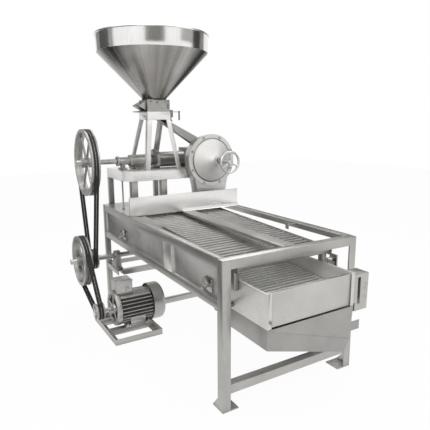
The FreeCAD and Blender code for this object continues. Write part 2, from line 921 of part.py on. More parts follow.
def connecting_rod():
    """From the pin under the box to the strap round the eccentric."""
    zp = box_bottom - rod_pin_drop
    half = rod_t / 2
    bore = eccentric_r + strap_clear
    ring_r = bore + strap_wall
    x0, x1 = eccentric_x - half, eccentric_x + half
    dy = drive_y - rod_pin_y
    dz = jack_z - zp
    n = math.hypot(dy, dz)
    py, pz = -dz / n * 11, dy / n * 11
    bar = prism_x([(rod_pin_y + py, zp + pz), (rod_pin_y - py, zp - pz),
                   (drive_y - py, jack_z - pz), (drive_y + py, jack_z + pz)], x0, x1)
    body = fuse([bar, rod_x(x0, x1, rod_pin_y, zp, 16), rod_x(x0, x1, drive_y, jack_z, ring_r)])
    body = body.cut(rod_x(x0 - 1, x1 + 1, drive_y, jack_z, bore))
    return body.cut(rod_x(x0 - 1, x1 + 1, rod_pin_y, zp, pin_r + pin_fit))


# Pulleys and belts

def groove_centres():
    return (-groove_pitch / 2, groove_pitch / 2)


def pulley(x_mid, y, z, r, bore, spokes):
    """A V-belt pulley with two grooves, a rim, a hub and, when it is large, spokes."""
    half = pulley_w / 2
    profile = [(r, -half)]
    for c in groove_centres():
        profile += [(r, c - groove_w / 2), (r - groove_depth, c - groove_bottom_w / 2),
                    (r - groove_depth, c + groove_bottom_w / 2), (r, c + groove_w / 2)]
    profile += [(r, half)]
    rim_in = r - groove_depth - 14
    solid_web = not spokes
    inner = bore if solid_web else rim_in
    profile = [(inner, -half)] + profile + [(inner, half)]
    rim = turned(profile, V(x_mid, y, z), V(1, 0, 0))
    if solid_web:
        return rim
    hub = rod_x(x_mid - half - 12, x_mid + half, y, z, hub_r)
    arms = []
    for k in range(spokes):
        arm = prism_x([(-10, hub_r - 6), (10, hub_r - 6), (7.5, rim_in + 5), (-7.5, rim_in + 5)], -9, 9)
        arm.rotate(V(0, 0, 0), V(1, 0, 0), 360.0 * k / spokes + arm_turn)
        arm.translate(V(x_mid, y, z))
        arms.append(arm)
    whole = rim.multiFuse(arms + [hub])
    return whole.cut(rod_x(x_mid - pulley_w, x_mid + pulley_w, y, z, bore)).removeSplitter()


def loop_face(x, c1, r1, c2, r2):
    """The flat outline of a belt pulled tight round two circles."""
    d = math.hypot(c2[0] - c1[0], c2[1] - c1[1])
    along = math.atan2(c2[1] - c1[1], c2[0] - c1[0])
    lean = math.acos((r1 - r2) / d)

    def at(c, r, angle):
        return V(x, c[0] + r * math.cos(angle), c[1] + r * math.sin(angle))

    a1, b1 = at(c1, r1, along + lean), at(c1, r1, along - lean)
    a2, b2 = at(c2, r2, along + lean), at(c2, r2, along - lean)
    far1 = at(c1, r1, along + math.pi)
    far2 = at(c2, r2, along)
    edges = [Part.Arc(a1, far1, b1).toShape(), Part.LineSegment(b1, b2).toShape(),
             Part.Arc(b2, far2, a2).toShape(), Part.LineSegment(a2, a1).toShape()]
    return Part.Face(Part.Wire(edges))


def belts(x_mid, c1, r1, c2, r2):
    low = groove_depth - belt_clear
    high = low - belt_h
    pieces = []
    for c in groove_centres():
        x = x_mid + c - belt_w / 2
        outer = loop_face(x, c1, r1 - high, c2, r2 - high).extrude(V(belt_w, 0, 0))
        inner = loop_face(x, c1, r1 - low, c2, r2 - low).extrude(V(belt_w, 0, 0))
        pieces.append(outer.cut(inner))
    return group(pieces)


def drive_shaft():
    x0 = upper_belt_x - pulley_w / 2 - 49
    x1 = gear_x - bevel_r + bevel_face - 2
    return rod_x(x0, x1, drive_y, drive_z, shaft_r)


def jack_shaft():
    body = rod_x(jack_left, jack_right + 20, drive_y, jack_z, shaft_r)
    return body


def eccentric():
    half = rod_t / 2
    disc = rod_x(eccentric_x - half, eccentric_x + half, drive_y, jack_z + eccentric_throw, eccentric_r)
    return disc.cut(rod_x(eccentric_x - half - 1, eccentric_x + half + 1, drive_y, jack_z, shaft_r + 0.05))


def pillow_block(x0, z_seat):
    """A split bearing block whose foot stands on a rail."""
    x1 = x0 + block_w - 8
    foot = box(x0, drive_y - 75, z_seat, x1, drive_y + 75, z_seat + 16)
    stem = prism_x([(drive_y - 46, z_seat + 16), (drive_y + 46, z_seat + 16),
                    (drive_y + 40, jack_z), (drive_y - 40, jack_z)], x0, x1)
    cap = rod_x(x0, x1, drive_y, jack_z, 40)
    block = fuse([foot, stem, cap])
    return block.cut(rod_x(x0 - 1, x1 + 1, drive_y, jack_z, shaft_r + pin_fit))


def jack_bearings():
    z = jack_rail_z + jack_rail_h
    return group([pillow_block(4, z), pillow_block(bearer_x + 4, z)])


# Motor

def motor_base():
    """An open frame of angle on the floor with two cross channels for the motor's feet."""
    x0, y0 = base_x, base_y
    x1, y1 = x0 + base_w, y0 + base_l
    h, t = base_h, base_t
    section = angle_section(h, h, t)
    front = prism_x(placed(section, y0, 0, 1, 1), x0, x1)
    back = prism_x(placed(section, y1, 0, -1, 1), x0, x1)
    left = prism([V(x, y0 + h, z) for x, z in placed(section, x0, 0, 1, 1)], V(0, base_l - 2 * h, 0))
    right = prism([V(x, y0 + h, z) for x, z in placed(section, x1, 0, -1, 1)], V(0, base_l - 2 * h, 0))
    side_ends = []
    for y in (y0 + t, y1 - h):
        side_ends.append(box(x0, y, t, x0 + t, y + h - t, h))
        side_ends.append(box(x1 - t, y, t, x1, y + h - t, h))
    bars = []
    for y in foot_rows():
        outer = box(x0 + t, y - 24, t, x1 - t, y + 24, h)
        inner = box(x0 + t, y - 24 + t, t, x1 - t, y + 24 - t, h - t)
        bars.append(outer.cut(inner))
    return fuse([front, back, left, right] + side_ends + bars)


def foot_rows():
    return (motor_y - 95, motor_y + 95)


def motor_feet():
    pieces = []
    xs = (motor_body_x + 22, motor_body_x + motor_body_l - 62)
    for y in foot_rows():
        s = 1 if y > motor_y else -1
        for x in xs:
            foot = box(x, y - 24, base_h, x + 40, y + 24, base_h + 12)
            web = prism_x([(y + s * 14, base_h + 12), (y - s * 24, base_h + 12),
                           (motor_y + s * 30, motor_z - motor_r * 0.93),
                           (motor_y + s * 70, motor_z - motor_r * 0.7)],
                          x, x + 40)
            pieces.append(fuse([foot, web]).cut(rod_x(x - 1, x + 41, motor_y, motor_z, motor_r + 0.2)))
    return group(pieces)


def foot_bolts():
    pieces = []
    xs = (motor_body_x + 42, motor_body_x + motor_body_l - 42)
    for y in foot_rows():
        s = 1 if y > motor_y else -1
        for x in xs:
            pieces.append(hex_z(base_h + 12, base_h + 20, x, y + s * 19.0, 4.5))
    return group(pieces)


def motor_body():
    """The finned stator housing."""
    x0 = motor_body_x
    x1 = x0 + motor_body_l
    barrel = rod_x(x0, x1, motor_y, motor_z, motor_r)
    fins = []
    for k in range(fin_count):
        angle = 360.0 * k / fin_count
        if 50 < angle < 130 or 228 < angle < 312:
            continue
        fin = box(x0 + 6, motor_r - 2, -fin_t / 2, x1 - 6, motor_r + fin_h, fin_t / 2)
        fin.rotate(V(0, 0, 0), V(1, 0, 0), angle)
        fin.translate(V(0, motor_y, motor_z))
        fins.append(fin)
    whole = barrel.multiFuse(fins)
    return whole.cut(rod_x(x0 - 1, x1 + 1, motor_y, motor_z, motor_shaft_r + pin_fit)).removeSplitter()


def end_bell():
    """The drive-end shield with its bearing boss and flange bolts' ears."""
    x1 = motor_body_x
    x0 = motor_front_x
    bore = motor_shaft_r + pin_fit
    profile = [(bore, x0), (38, x0), (42, x0 + 10), (72, x0 + 12), (bell_r - 14, x0 + 16),
               (bell_r, x0 + 26), (bell_r, x1), (motor_shaft_r + pin_fit, x1)]
    return turned([(r, h) for r, h in profile], V(0, motor_y, motor_z), V(1, 0, 0))


def fan_cowl():
    """A dished cover over the fan, with its air grille in the end."""
    x0 = motor_body_x + motor_body_l
    x1 = x0 + cowl_l
    r, t = cowl_r, 2.5
    outer = [(0, x0), (r, x0), (r, x1 - 26), (r - 6, x1 - 12), (r - 24, x1), (0, x1)]
    inner = [(0, x0), (r - t, x0), (r - t, x1 - 27), (r - 8, x1 - 14), (r - 26, x1 - t), (0, x1 - t)]
    centre = V(0, motor_y, motor_z)
    shell = turned(outer, centre, V(1, 0, 0)).cut(turned(inner, centre, V(1, 0, 0)))
    vents = []
    for row in range(-3, 4):
        half = math.sqrt(80.0 ** 2 - (row * 22.0) ** 2) if abs(row * 22.0) < 80 else 0
        z = motor_z + row * 22
        vents.append(box(x1 - 10, motor_y - half, z - 5, x1 + 1, motor_y + half, z + 5))
    shell = shell.cut(Part.makeCompound(vents))
    ring = tube_x(x0, x0 + 10, motor_y, motor_z, r - t, motor_r)
    return fuse([shell, ring])


def motor_shaft():
    x0 = lower_belt_x - pulley_w / 2 - 5
    x1 = motor_body_x + motor_body_l + 60
    return rod_x(x0, x1, motor_y, motor_z, motor_shaft_r)


def motor_fan():
    x0 = motor_body_x + motor_body_l + 24
    bore = motor_shaft_r + 0.05
    hub = tube_x(x0, x0 + 34, motor_y, motor_z, 26, bore)
    disc = tube_x(x0, x0 + 4, motor_y, motor_z, 92, bore)
    blades = []
    for k in range(7):
        blade = box(x0 + 4, 24, -2, x0 + 32, 90, 2)
        blade.rotate(V(0, 0, 0), V(1, 0, 0), 360.0 * k / 7)
        blade.translate(V(0, motor_y, motor_z))
        blades.append(blade)
    return fuse([hub, disc] + blades)


def terminal_box():
    """The connection box on the motor's top, with its lid and a blank cable gland."""
    x0 = motor_body_x - 14
    x1 = x0 + 118
    y0, y1 = motor_y - 58, motor_y + 58
    z0 = motor_z + motor_r * 0.8
    z1 = motor_z + motor_r + 104
    outline = [(y0 + 14, z0), (y1 - 14, z0), (y1, z0 + 40), (y1, z1 - 12), (y0, z1 - 12), (y0, z0 + 40)]
    body = prism_x(outline, x0, x1)
    lid = box(x0 - 3, y0 - 3, z1 - 12, x1 + 3, y1 + 3, z1 - 3)
    crown = box(x0 + 10, y0 + 10, z1 - 3, x1 - 10, y1 - 10, z1)
    gland = rod_y(y0 - 20, y0, (x0 + x1) / 2 + 20, z0 + 58, 13)
    seat = rod_x(x0 - 30, x1 + 30, motor_y, motor_z, motor_r + 0.05)
    bell = rod_x(x0 - 30, motor_body_x + 0.05, motor_y, motor_z, bell_r + 0.2)
    return fuse([body, lid, crown, gland]).cut(seat).cut(bell)


def base_tie():
    """A low rail from the motor base to the right of the table, and back to the rear leg."""
    y0 = base_y + base_l - 60
    section = angle_section(40, 40, 4)
    x1 = table_width - angle_w + angle_t
    along = prism_x(placed(section, y0, 70, 1, -1), base_x + base_w, x1)
    side = prism([V(x, y0, z) for x, z in placed(section, x1 + 40, 70, -1, -1)],
                 V(0, table_length - angle_w - y0, 0))
    end = box(base_x + base_w, y0, base_t, base_x + base_w + 4, y0 + 40, 30)
    return group([fuse([along, end]), side])


# Shaft housing, gear case and gears

def shaft_housing():
    """The tube round the drive shaft, its larger bearing body and bolted flange."""
    bore = shaft_r + 6
    outline = [(bore, housing_x), (housing_r + 8, housing_x), (housing_r + 8, housing_x + 16),
               (housing_r, housing_x + 18), (housing_r, bearing_x - 8), (bearing_r, bearing_x + 4),
               (bearing_r, bearing_end - 30), (bearing_r - 8, bearing_end - 10), (bearing_r - 8, bearing_end),
               (flange_r, bearing_end), (flange_r, bearing_end + flange_t), (bore, bearing_end + flange_t)]
    body = turned(outline, V(0, drive_y, drive_z), V(1, 0, 0))
    low = platform_top - flange_r
    return body.cut(box(housing_x, drive_y - flange_r, low, neck_x, drive_y + flange_r, platform_top))


def housing_saddles():
    """Cast feet between the housing and the platform."""
    pieces = []
    narrow = bearing_x - housing_x
    saddles = ((housing_x + 0.28 * narrow, housing_x + 0.68 * narrow, housing_r),
               (bearing_x + 30, bearing_end - 60, bearing_r))
    for x0, x1, r in saddles:
        half = r + 22
        foot = box(x0, drive_y - half, platform_top, x1, drive_y + half, platform_top + 12)
        stem = box(x0 + 6, drive_y - r * 0.8, platform_top + 12, x1 - 6, drive_y + r * 0.8, drive_z)
        pieces.append(fuse([foot, stem]).cut(rod_x(x0 - 1, x1 + 1, drive_y, drive_z, r)))
    return group(pieces)


def shaft_bearings():
    bore = shaft_r + pin_fit
    r = shaft_r + 6
    pieces = []
    for x in (housing_x + 3, bearing_x + 20, bearing_end - 20):
        pieces.append(tube_x(x, x + 18, drive_y, drive_z, r, bore))
    return group(pieces)


def case_bounds():
    x0, x1 = gear_x - case_w / 2, gear_x + case_w / 2
    y0, y1 = drive_y - case_l / 2, drive_y + case_l / 2
    return x0, x1, y0, y1


def gear_case():
    """A right-angle case: a neck to the shaft housing and one to the mill."""
    x0, x1, y0, y1 = case_bounds()
    z0, z1 = platform_top, drive_z + 88
    body = box(x0, y0, z0 + 12, x1, y1, z1)
    upright = [e for e in body.Edges if abs(e.Vertexes[0].Z - e.Vertexes[1].Z) > 50]
    body = body.makeFillet(22, upright)
    foot = box(x0 - 24, y0 + 10, z0, x1 + 24, y1 - 10, z0 + 12)
    start = bearing_end + flange_t
    flange = rod_x(start, start + flange_t, drive_y, drive_z, flange_r)
    under = box(start, drive_y - flange_r, z0 - flange_r, start + flange_t, drive_y + flange_r, z0)
    flange = flange.cut(under)
    neck = rod_x(start, x0 + 5, drive_y, drive_z, neck_r)
    mill_flange = rod_y(y0 - 16, y0 + 2, gear_x, drive_z, neck_r + 4)
    whole = fuse([body, foot, flange, neck, mill_flange])
    w = case_wall
    cavity = box(x0 + w, y0 + w, z0 + 12, x1 - w, y1 - w, z1 - w)
    bore_x = rod_x(start - 1, x0 + w + 1, drive_y, drive_z, shaft_r + 6)
    bore_y = rod_y(y0 - 17, y0 + w + 1, gear_x, drive_z, shaft_r + 6)
    return whole.cut(cavity).cut(bore_x).cut(bore_y)


def case_bearings():
    x0, x1, y0, y1 = case_bounds()
    bore = shaft_r + pin_fit
    r = shaft_r + 6
    along_x = tube_x(x0 - 8, x0 + 10, drive_y, drive_z, r, bore)
    along_y = tube_y(y0 - 14, y0 + 4, gear_x, drive_z, r, bore)
    return group([along_x, along_y])


def flange_bolts():
    pieces = []
    x1 = bearing_end
    for k in (0, 1, 2, 3, 5):
        a = math.radians(60 * k + 30)
        y = drive_y + (flange_r - 13) * math.cos(a)
        z = drive_z + (flange_r - 13) * math.sin(a)
        pieces.append(hex_x(x1 - 7, x1, y, z, 7))
        pieces.append(hex_x(x1 + 2 * flange_t, x1 + 2 * flange_t + 7, y, z, 7))
    return group(pieces)


def bevel(place, axis):
    """A mitre gear drawn as its pitch cone, with its hub."""
    r0 = bevel_r - bevel_gap
    r1 = bevel_r - bevel_face - bevel_gap
    bore = shaft_r + 0.05
    end = bevel_face + 20
    outline = [(bore, 0), (bore, end), (r1, end), (r0, 20), (r0 - 4, 14), (34, 14), (34, 0)]
    return turned(outline, place, axis)


def drive_bevel():
    start = gear_x - bevel_r - 20
    return bevel(V(start, drive_y, drive_z), V(1, 0, 0))


def mill_bevel():
    start = drive_y - bevel_r - 20
    return bevel(V(gear_x, start, drive_z), V(0, 1, 0))


# Mill

def mill_casing():
    outer = casing_solid(0, mill_front, mill_back)
    chamber = casing_solid(mill_wall, mill_front, mill_back - mill_wall)
    low = box(mill_x - duct_half + mill_wall, mill_front + mill_wall, table_height - duct_hole_drop - 1,
              mill_x + duct_half - mill_wall, mill_back - mill_wall, table_height + 60)
    eye = rod_y(mill_back - mill_wall - 1, mill_back + 1, mill_x, drive_z, 48)
    return outer.cut(chamber).cut(low).cut(eye)


def mill_front_plate():
    """The plate that closes the duct's front below the round chamber, and the body flange."""
    outline = casing_solid(0, mill_front - ring_t, mill_front)
    disc = rod_y(mill_front - ring_t, mill_front, mill_x, drive_z, ring_r)
    hole = rod_y(mill_front - ring_t - 1, mill_front + 1, mill_x, drive_z, ring_inner)
    return fuse([outline, disc]).cut(hole)


def mill_cover():
    """The dished cover: ring flange, shallow cone and the boss for the adjusting screw."""
    y0 = mill_front - ring_t
    t = cover_shell
    bore = screw_r + pin_fit
    d = cover_depth
    outline = [(ring_r, 0), (ring_r, ring_t), (ring_inner, ring_t), (ring_inner - 16, ring_t + 10),
               (cover_boss_r + 14, ring_t + d), (cover_boss_r, ring_t + d + 6),
               (cover_boss_r, ring_t + d + cover_boss_l), (bore, ring_t + d + cover_boss_l),
               (bore, ring_t + d - t), (cover_boss_r + 10, ring_t + d - t), (ring_inner - 18, ring_t + 10 - t),
               (ring_inner - 12, 0)]
    return turned(outline, V(mill_x, y0, drive_z), V(0, -1, 0))


def cover_bolts():
    pieces = []
    y0 = mill_front - 2 * ring_t
    r = (ring_r + ring_inner) / 2
    for k in range(8):
        a = math.radians(45 * k + 22.5)
        pieces.append(hex_y(y0 - 9, y0, mill_x + r * math.cos(a), drive_z + r * math.sin(a), 8))
    return group(pieces)


def fixed_stone():
    y1 = mill_back - mill_wall
    return tube_y(y1 - stone_t, y1, mill_x, drive_z, stone_r, 46)


def running_stone():
    y1 = mill_back - mill_wall - stone_t - stone_gap
    y0 = y1 - stone_t
    disc = tube_y(y0, y1, mill_x, drive_z, stone_r, shaft_r + 0.05)
    grooves = []
    for k in range(12):
        tool = box(30, -3, -3, stone_r + 2, 4, 3)
        tool.rotate(V(0, 0, 0), V(0, 1, 0), 30.0 * k)
        tool.translate(V(mill_x, y1 - 1, drive_z))
        grooves.append(tool)
    return disc.cut(Part.makeCompound(grooves))


def spindle_front():
    return mill_back - mill_wall - stone_t - stone_gap - stone_t - 10


def mill_spindle():
    y1 = drive_y - bevel_r + bevel_face - 2
    return rod_y(spindle_front(), y1, mill_x, drive_z, shaft_r)


def feed_throat():
    """The tube between the gear case and the mill, rolled in five parts round its square window,
    with a neck of four plates on top."""
    x0, x1, y0, y1 = case_bounds()
    a, b = mill_back, y0 - 16
    half = chute_w / 2
    yc, top = throat_top()
    tube = rod_y(a, b, mill_x, drive_z, neck_r)
    flange = rod_y(a, platform_front, mill_x, drive_z, neck_r + 16)
    whole = fuse([tube, flange]).cut(rod_y(a - 1, b - 8, mill_x, drive_z, neck_r - 12))
    whole = whole.cut(rod_y(b - 9, b + 1, mill_x, drive_z, shaft_r + 2))
    whole = whole.cut(box(mill_x - half, yc - half, drive_z, mill_x + half, yc + half, top))
    inside = (mill_x - half, mill_x + half, yc - half, yc + half)
    plates = plate_duct(inside, drive_z, inside, top, neck_t)
    return group(tube_parts(whole, inside) + [plate.cut(tube).cut(flange) for plate in plates])


def tube_parts(tube, window):
    """The tube's lower half, and its upper half before, behind and on each side of the window."""
    xa, xb, ya, yb = window
    r = neck_r + 20
    left, right = mill_x - r, mill_x + r
    front, back = platform_front - 2 * r, platform_front + 4 * r
    low, top = drive_z - r, drive_z + r
    places = [box(left, front, low, right, back, drive_z), box(left, front, drive_z, right, ya, top),
              box(left, yb, drive_z, right, back, top), box(left, ya, drive_z, xa, yb, top),
              box(xb, ya, drive_z, right, yb, top)]
    return [tube.common(place) for place in places]


def throat_top():
    x0, x1, y0, y1 = case_bounds()
    a, b = mill_back, y0 - 16
    return (a + b) / 2 + 6, drive_z + neck_r + 22


def rect_wire(x0, x1, y0, y1, z):
    return Part.makePolygon([V(x0, y0, z), V(x1, y0, z), V(x1, y1, z), V(x0, y1, z), V(x0, y0, z)])


def chute_mouth():
    """Inside of the chute's top end, under the right part of the stand's head."""
    x1 = hopper_x + head_half_x - 9
    return x1 - chute_w, x1, hopper_y - 24, hopper_y + 46


def plate_duct(low, z0, high, z1, t):
    """Four plates round a leaning duct, from its inner edges at the bottom to those at the top."""

    def ring(edges, g, z):
        xa, xb, ya, yb = edges
        return [V(xa - g, ya - g, z), V(xb + g, ya - g, z), V(xb + g, yb + g, z), V(xa - g, yb + g, z)]

    rings = [(ring(edges, 0, z), ring(edges, t, z)) for edges, z in ((low, z0), (high, z1))]
    plates = []
    for k in range(4):
        n = (k + 1) % 4
        ends = []
        for inner, outer in rings:
            ends.append(Part.makePolygon([inner[k], inner[n], outer[n], outer[k], inner[k]]))
        plates.append(Part.makeLoft(ends, True, True))
    return plates


def feed_chute():
    """A leaning duct of plates from the hopper's outlet, over a short funnel on the throat."""
    yc, z0 = throat_top()
    half = chute_w / 2
    throat = (mill_x - half, mill_x + half, yc - half, yc + half)
    knee = (mill_x - half - chute_flare, mill_x + half, yc - half, yc + half)
    funnel = plate_duct(throat, z0, knee, z0 + chute_knee_h, sheet)
    lean = plate_duct(knee, z0 + chute_knee_h, chute_mouth(), head_z, sheet)
    return group(funnel + lean)


def cup_back():
    return spindle_front() - cup_travel - 0.3


def thrust_cup():
    """The cup that the screw pushes towards the end of the mill's spindle."""
    y1 = cup_back()
    cup = rod_y(y1 - 26, y1, mill_x, drive_z, 24)
    return cup.cut(rod_y(y1 - 27, y1 - 8, mill_x, drive_z, screw_r + pin_fit))


def screw_end():
    return cup_back() - 8 - cup_travel - 0.3


def adjusting_wheel():
    """Screw, handwheel rim, three spokes and hub in one."""
    y0 = screw_front
    y1 = screw_end()
    stem = rod_y(y0 - 14, y1, mill_x, drive_z, screw_r)
    hub = rod_y(y0 - 16, y0 + 16, mill_x, drive_z, 20)
    ring = Part.makeTorus(wheel_r - wheel_rim_r, wheel_rim_r, V(mill_x, y0, drive_z), V(0, 1, 0))
    arms = []
    for k in range(3):
        a = math.radians(120 * k + 90)
        end = wheel_r - wheel_rim_r
        arm = Part.makeCylinder(6.5, end, V(mill_x, y0, drive_z), V(math.cos(a), 0, math.sin(a)))
        arms.append(arm)
    return fuse([stem, hub, ring] + arms)


def cover_front():
    return mill_front - 2 * ring_t - cover_depth - cover_boss_l


def lock_nut():
    """A nut with two wings that jams the adjusting screw against the cover."""
    y1 = cover_front() - 0.3
    body = tube_y(y1 - 22, y1, mill_x, drive_z, 22, screw_r + pin_fit)
    wing = box(-34, -15, -5, 34, -5, 5)
    wing.rotate(V(0, 0, 0), V(0, 1, 0), 38)
    wing.translate(V(mill_x, y1, drive_z))
    bore = rod_y(y1 - 30, y1 + 5, mill_x, drive_z, screw_r + pin_fit)
    return fuse([body, wing]).cut(bore)


# Hopper, gate and stand

def hopper():
    w = hopper_wall
    outer = [(hopper_neck_r, hopper_neck_z), (hopper_low_r, hopper_band), (hopper_r, hopper_top)]
    inner = [(hopper_r - w, hopper_top), (hopper_low_r - w, hopper_band + 0.6 * w),
             (hopper_neck_r - 1.4 * w, hopper_neck_z)]
    shell = turned(outer + inner, V(hopper_x, hopper_y, 0), V(0, 0, 1))
    bead = Part.makeTorus(hopper_r, bead_r, V(hopper_x, hopper_y, hopper_top), V(0, 0, 1))
    return fuse([shell, bead])


def gate_gap():
    return gate_z - gate_fit_z, gate_z + gate_t + gate_fit_z


def outlet_box():
    """The square box under the cone, with a round hole in its top."""
    x0, x1 = hopper_x - outlet_half_x, hopper_x + outlet_half_x
    y0, y1 = hopper_y - outlet_half_y, hopper_y + outlet_half_y
    z0 = gate_gap()[1]
    z1 = hopper_neck_z
    outer = box(x0, y0, z0, x1, y1, z1)
    inner = box(x0 + 4, y0 + 4, z0 + 5, x1 - 4, y1 - 4, z1 - 4)
    hole = rod_z(z1 - 5, z1 + 1, hopper_x, hopper_y, hopper_neck_r - 5)
    base_hole = gate_window(0, z0 - 1, z0 + 6)
    return outer.cut(inner).cut(hole).cut(base_hole)


def gate_window(dx, z0, z1):
    """The long opening of the gate and of the plates above and below it."""
    x, y = hopper_x + dx, hopper_y
    half_x, half_y = gate_window_x / 2, gate_window_y / 2
    return box(x - half_x, y - half_y, z0, x + half_x, y + half_y, z1)


def gate_rails():
    """Bars at the front and back of the slide gate, between the outlet box and the stand."""
    x0, x1 = hopper_x - outlet_half_x, hopper_x + outlet_half_x
    z0, z1 = head_z + head_h, gate_gap()[1]
    pieces = []
    for s in (-1, 1):
        a = hopper_y + s * outlet_half_y
        b = a - s * 12
        pieces.append(box(x0, min(a, b), z0, x1, max(a, b), z1))
    return group(pieces)


def slide_gate():
    """A plate with one opening, its flat bar and the handle: pushed in, it opens the outlet."""
    x0 = hopper_x - outlet_half_x - 62
    x1 = hopper_x + outlet_half_x + 6
    half = outlet_half_y - 12.5
    z1 = gate_z + gate_t
    plate = box(x0, hopper_y - half, gate_z, x1, hopper_y + half, z1)
    plate = plate.cut(gate_window(gate_travel, gate_z - 1, z1 + 1))
    y0, y1 = hopper_y - gate_bar_w / 2, hopper_y + gate_bar_w / 2
    bar = box(x1, y0, gate_z, x1 + gate_bar_l, y1, z1)
    grip = rod_z(gate_z - 62, z1 + 6, x1 + gate_bar_l - 6, hopper_y, 6)
    return fuse([plate, bar, grip])


def guide_right():
    return hopper_x + outlet_half_x + 6 + gate_bar_l - 12 - gate_travel - 1


def rod_guide():
    """A block on the stand that holds the gate's bar and its lock screw."""
    x0 = hopper_x + head_half_x
    x1 = guide_right()
    y = hopper_y
    z0, z1 = gate_gap()
    block = box(x1 - 22, y - 18, z0 - 20, x1, y + 18, z1 + 12)
    arm = box(x0, y - 18, z0 - 38, x1, y + 18, z0 - 20)
    whole = fuse([block, arm])
    half = gate_bar_w / 2 + gate_fit
    whole = whole.cut(box(x1 - 30, y - half, z0, x1 + 1, y + half, z1))
    return whole.cut(rod_z(z0 - 40, z0 + 1, x1 - 11, y, 5 + pin_fit))


def lock_screw():
    x = guide_right() - 11
    z0 = gate_gap()[0]
    stem = rod_z(z0 - 72, z0, x, hopper_y, 5)
    bar = rod_y(hopper_y - 24, hopper_y + 24, x, z0 - 66, 4)
    return fuse([stem, bar])


def stand_head():
    """The square box that carries the outlet, with a funnel inside that leads to the chute."""
    x0, x1 = hopper_x - head_half_x, hopper_x + head_half_x
    y0, y1 = hopper_y - head_half_y, hopper_y + head_half_y
    z0, z1 = head_z, head_z + head_h
    outer = box(x0, y0, z0, x1, y1, z1)
    inner = box(x0 + 5, y0 + 5, z0 - 1, x1 - 5, y1 - 5, z1 - 5)
    ring = outer.cut(inner).cut(gate_window(0, z1 - 6, z1 + 1))
    a0, a1, b0, b1 = chute_mouth()

    def funnel(g):
        low = rect_wire(a0 - g, a1 + g, b0 - g, b1 + g, z0)
        high = rect_wire(x0 + 8 - g, x1 - 8 + g, y0 + 8 - g, y1 - 8 + g, z1 - 5)
        return Part.makeLoft([low, high], True, True)

    return fuse([ring, funnel(3).cut(funnel(0))])


def stand_legs():
    """Four splayed angles from the corners of the head to the platform."""
    w, t = stand_leg_w, stand_leg_t
    pieces = []
    corners = ((-1, -1), (1, -1), (-1, 1), (1, 1))
    for (sx, sy), (dx, dy) in zip(corners, stand_feet):
        fx, fy = hopper_x + dx, hopper_y + dy
        hx = hopper_x + sx * head_half_x
        hy = hopper_y + sy * head_half_y
        section = placed(angle_section(w, w, t), 0, 0, -sx, -sy)
        top = Part.makePolygon([V(hx + u, hy + v, head_z) for u, v in section + [section[0]]])
        low = Part.makePolygon([V(fx + u, fy + v, platform_top) for u, v in section + [section[0]]])
        pieces.append(Part.makeLoft([low, top], True, True))
    return group(pieces)


def gusset_flap():
    """The bent catch plate on the left of the outlet, below the gate's tail."""
    x1 = hopper_x - head_half_x
    y0, y1 = hopper_y - 60, hopper_y + 60
    z1 = head_z + head_h - 4
    outline = [(x1, z1), (x1 - 60, z1), (x1 - 60, z1 - 3), (x1 - 6, z1 - 3), (x1 - 3, z1 - 40), (x1, z1 - 40)]
    return prism_y(outline, y0, y1)


def latch(z):
    """A small turn-screw on the box's front, seen at the left of the plate."""
    x = box_gap + box_sheet + guide_w / 2
    head = rod_y(box_front - 10, box_front - 0.3, x, z, 7)
    bar = box(x - 3, box_front - 16, z - 11, x + 3, box_front - 10, z + 11)
    return fuse([head, bar])


def deck_clip():
    """A guide on the right rail that reaches over the edge of the upper deck."""
    x1 = table_width - angle_t
    x0 = table_width - upper_gap + 8
    z1 = table_height - angle_t
    plate = box(x0, 462, z1 - 10, x1, 492, z1)
    lip = box(x0, 462, z1 - 30, x0 + 6, 492, z1 - 10)
    up = box(x0 - 2, 462, z1 - 10, x0, 492, z1 + 22)
    return fuse([plate, lip, up])


def left_ledge():
    """A narrow strip beside the left rail that closes the gap over the deck's edge."""
    z0 = table_height - angle_t
    return box(angle_w, deck_end_y - 430, z0, angle_w + 62, deck_end_y, z0 + sheet)


def build_table():
    shapes["legs"] = legs()
    shapes["top_rails"] = top_rails()
    shapes["cross_rails"] = group([front_tie(), deck_end_bar(), platform_cross_rail(), mid_rail(),
                                   left_ledge(), deck_clip()])
    shapes["side_rails"] = group([side_lower_rails(), side_mid_post()])
    shapes["side_panels"] = side_panels()
    shapes["jack_rails"] = group([jack_rails(), base_tie()])
    shapes["deflector"] = group([deflector(), deflector_strip()])
    shapes["rear_cover"] = rear_cover()
    shapes["platform"] = group([platform_rails(), platform_plate()])
    shapes["platform_posts"] = group([platform_posts(), tie_rod()])
    shapes["hanger_brackets"] = group([hanger_plates(), upper_pins()])


def build_box():
    shapes["box_walls"] = group([box_walls(), plate_guides(), front_sill(), deck_ledges()])
    shapes["tray_floor"] = fuse([tray_floor(), rod_lug()])
    shapes["front_plate"] = front_plate()
    shapes["pan"] = group([pan(), lower_spout()])
    shapes["side_chute"] = fuse([side_chute()] + list(chute_bolts().Solids))
    shapes["lower_deck"] = lower_deck()
    shapes["upper_deck"] = upper_deck()
    shapes["upper_frame"] = group([upper_frame(), risers()])
    shapes["lower_pins"] = lower_pins()
    shapes["front_latch"] = latch(lower_deck_front_z - 36)


def build_links():
    names = ("front", "back")
    for name, y in zip(names, hanger_ys):
        left = hanger(y)
        shapes["hanger_" + name + "_left"] = left
        shapes["hanger_" + name + "_right"] = mirror_x(left, mid_x)
        shapes["clamp_knob_" + name] = clamp_knob(y)
    shapes["connecting_rod"] = connecting_rod()


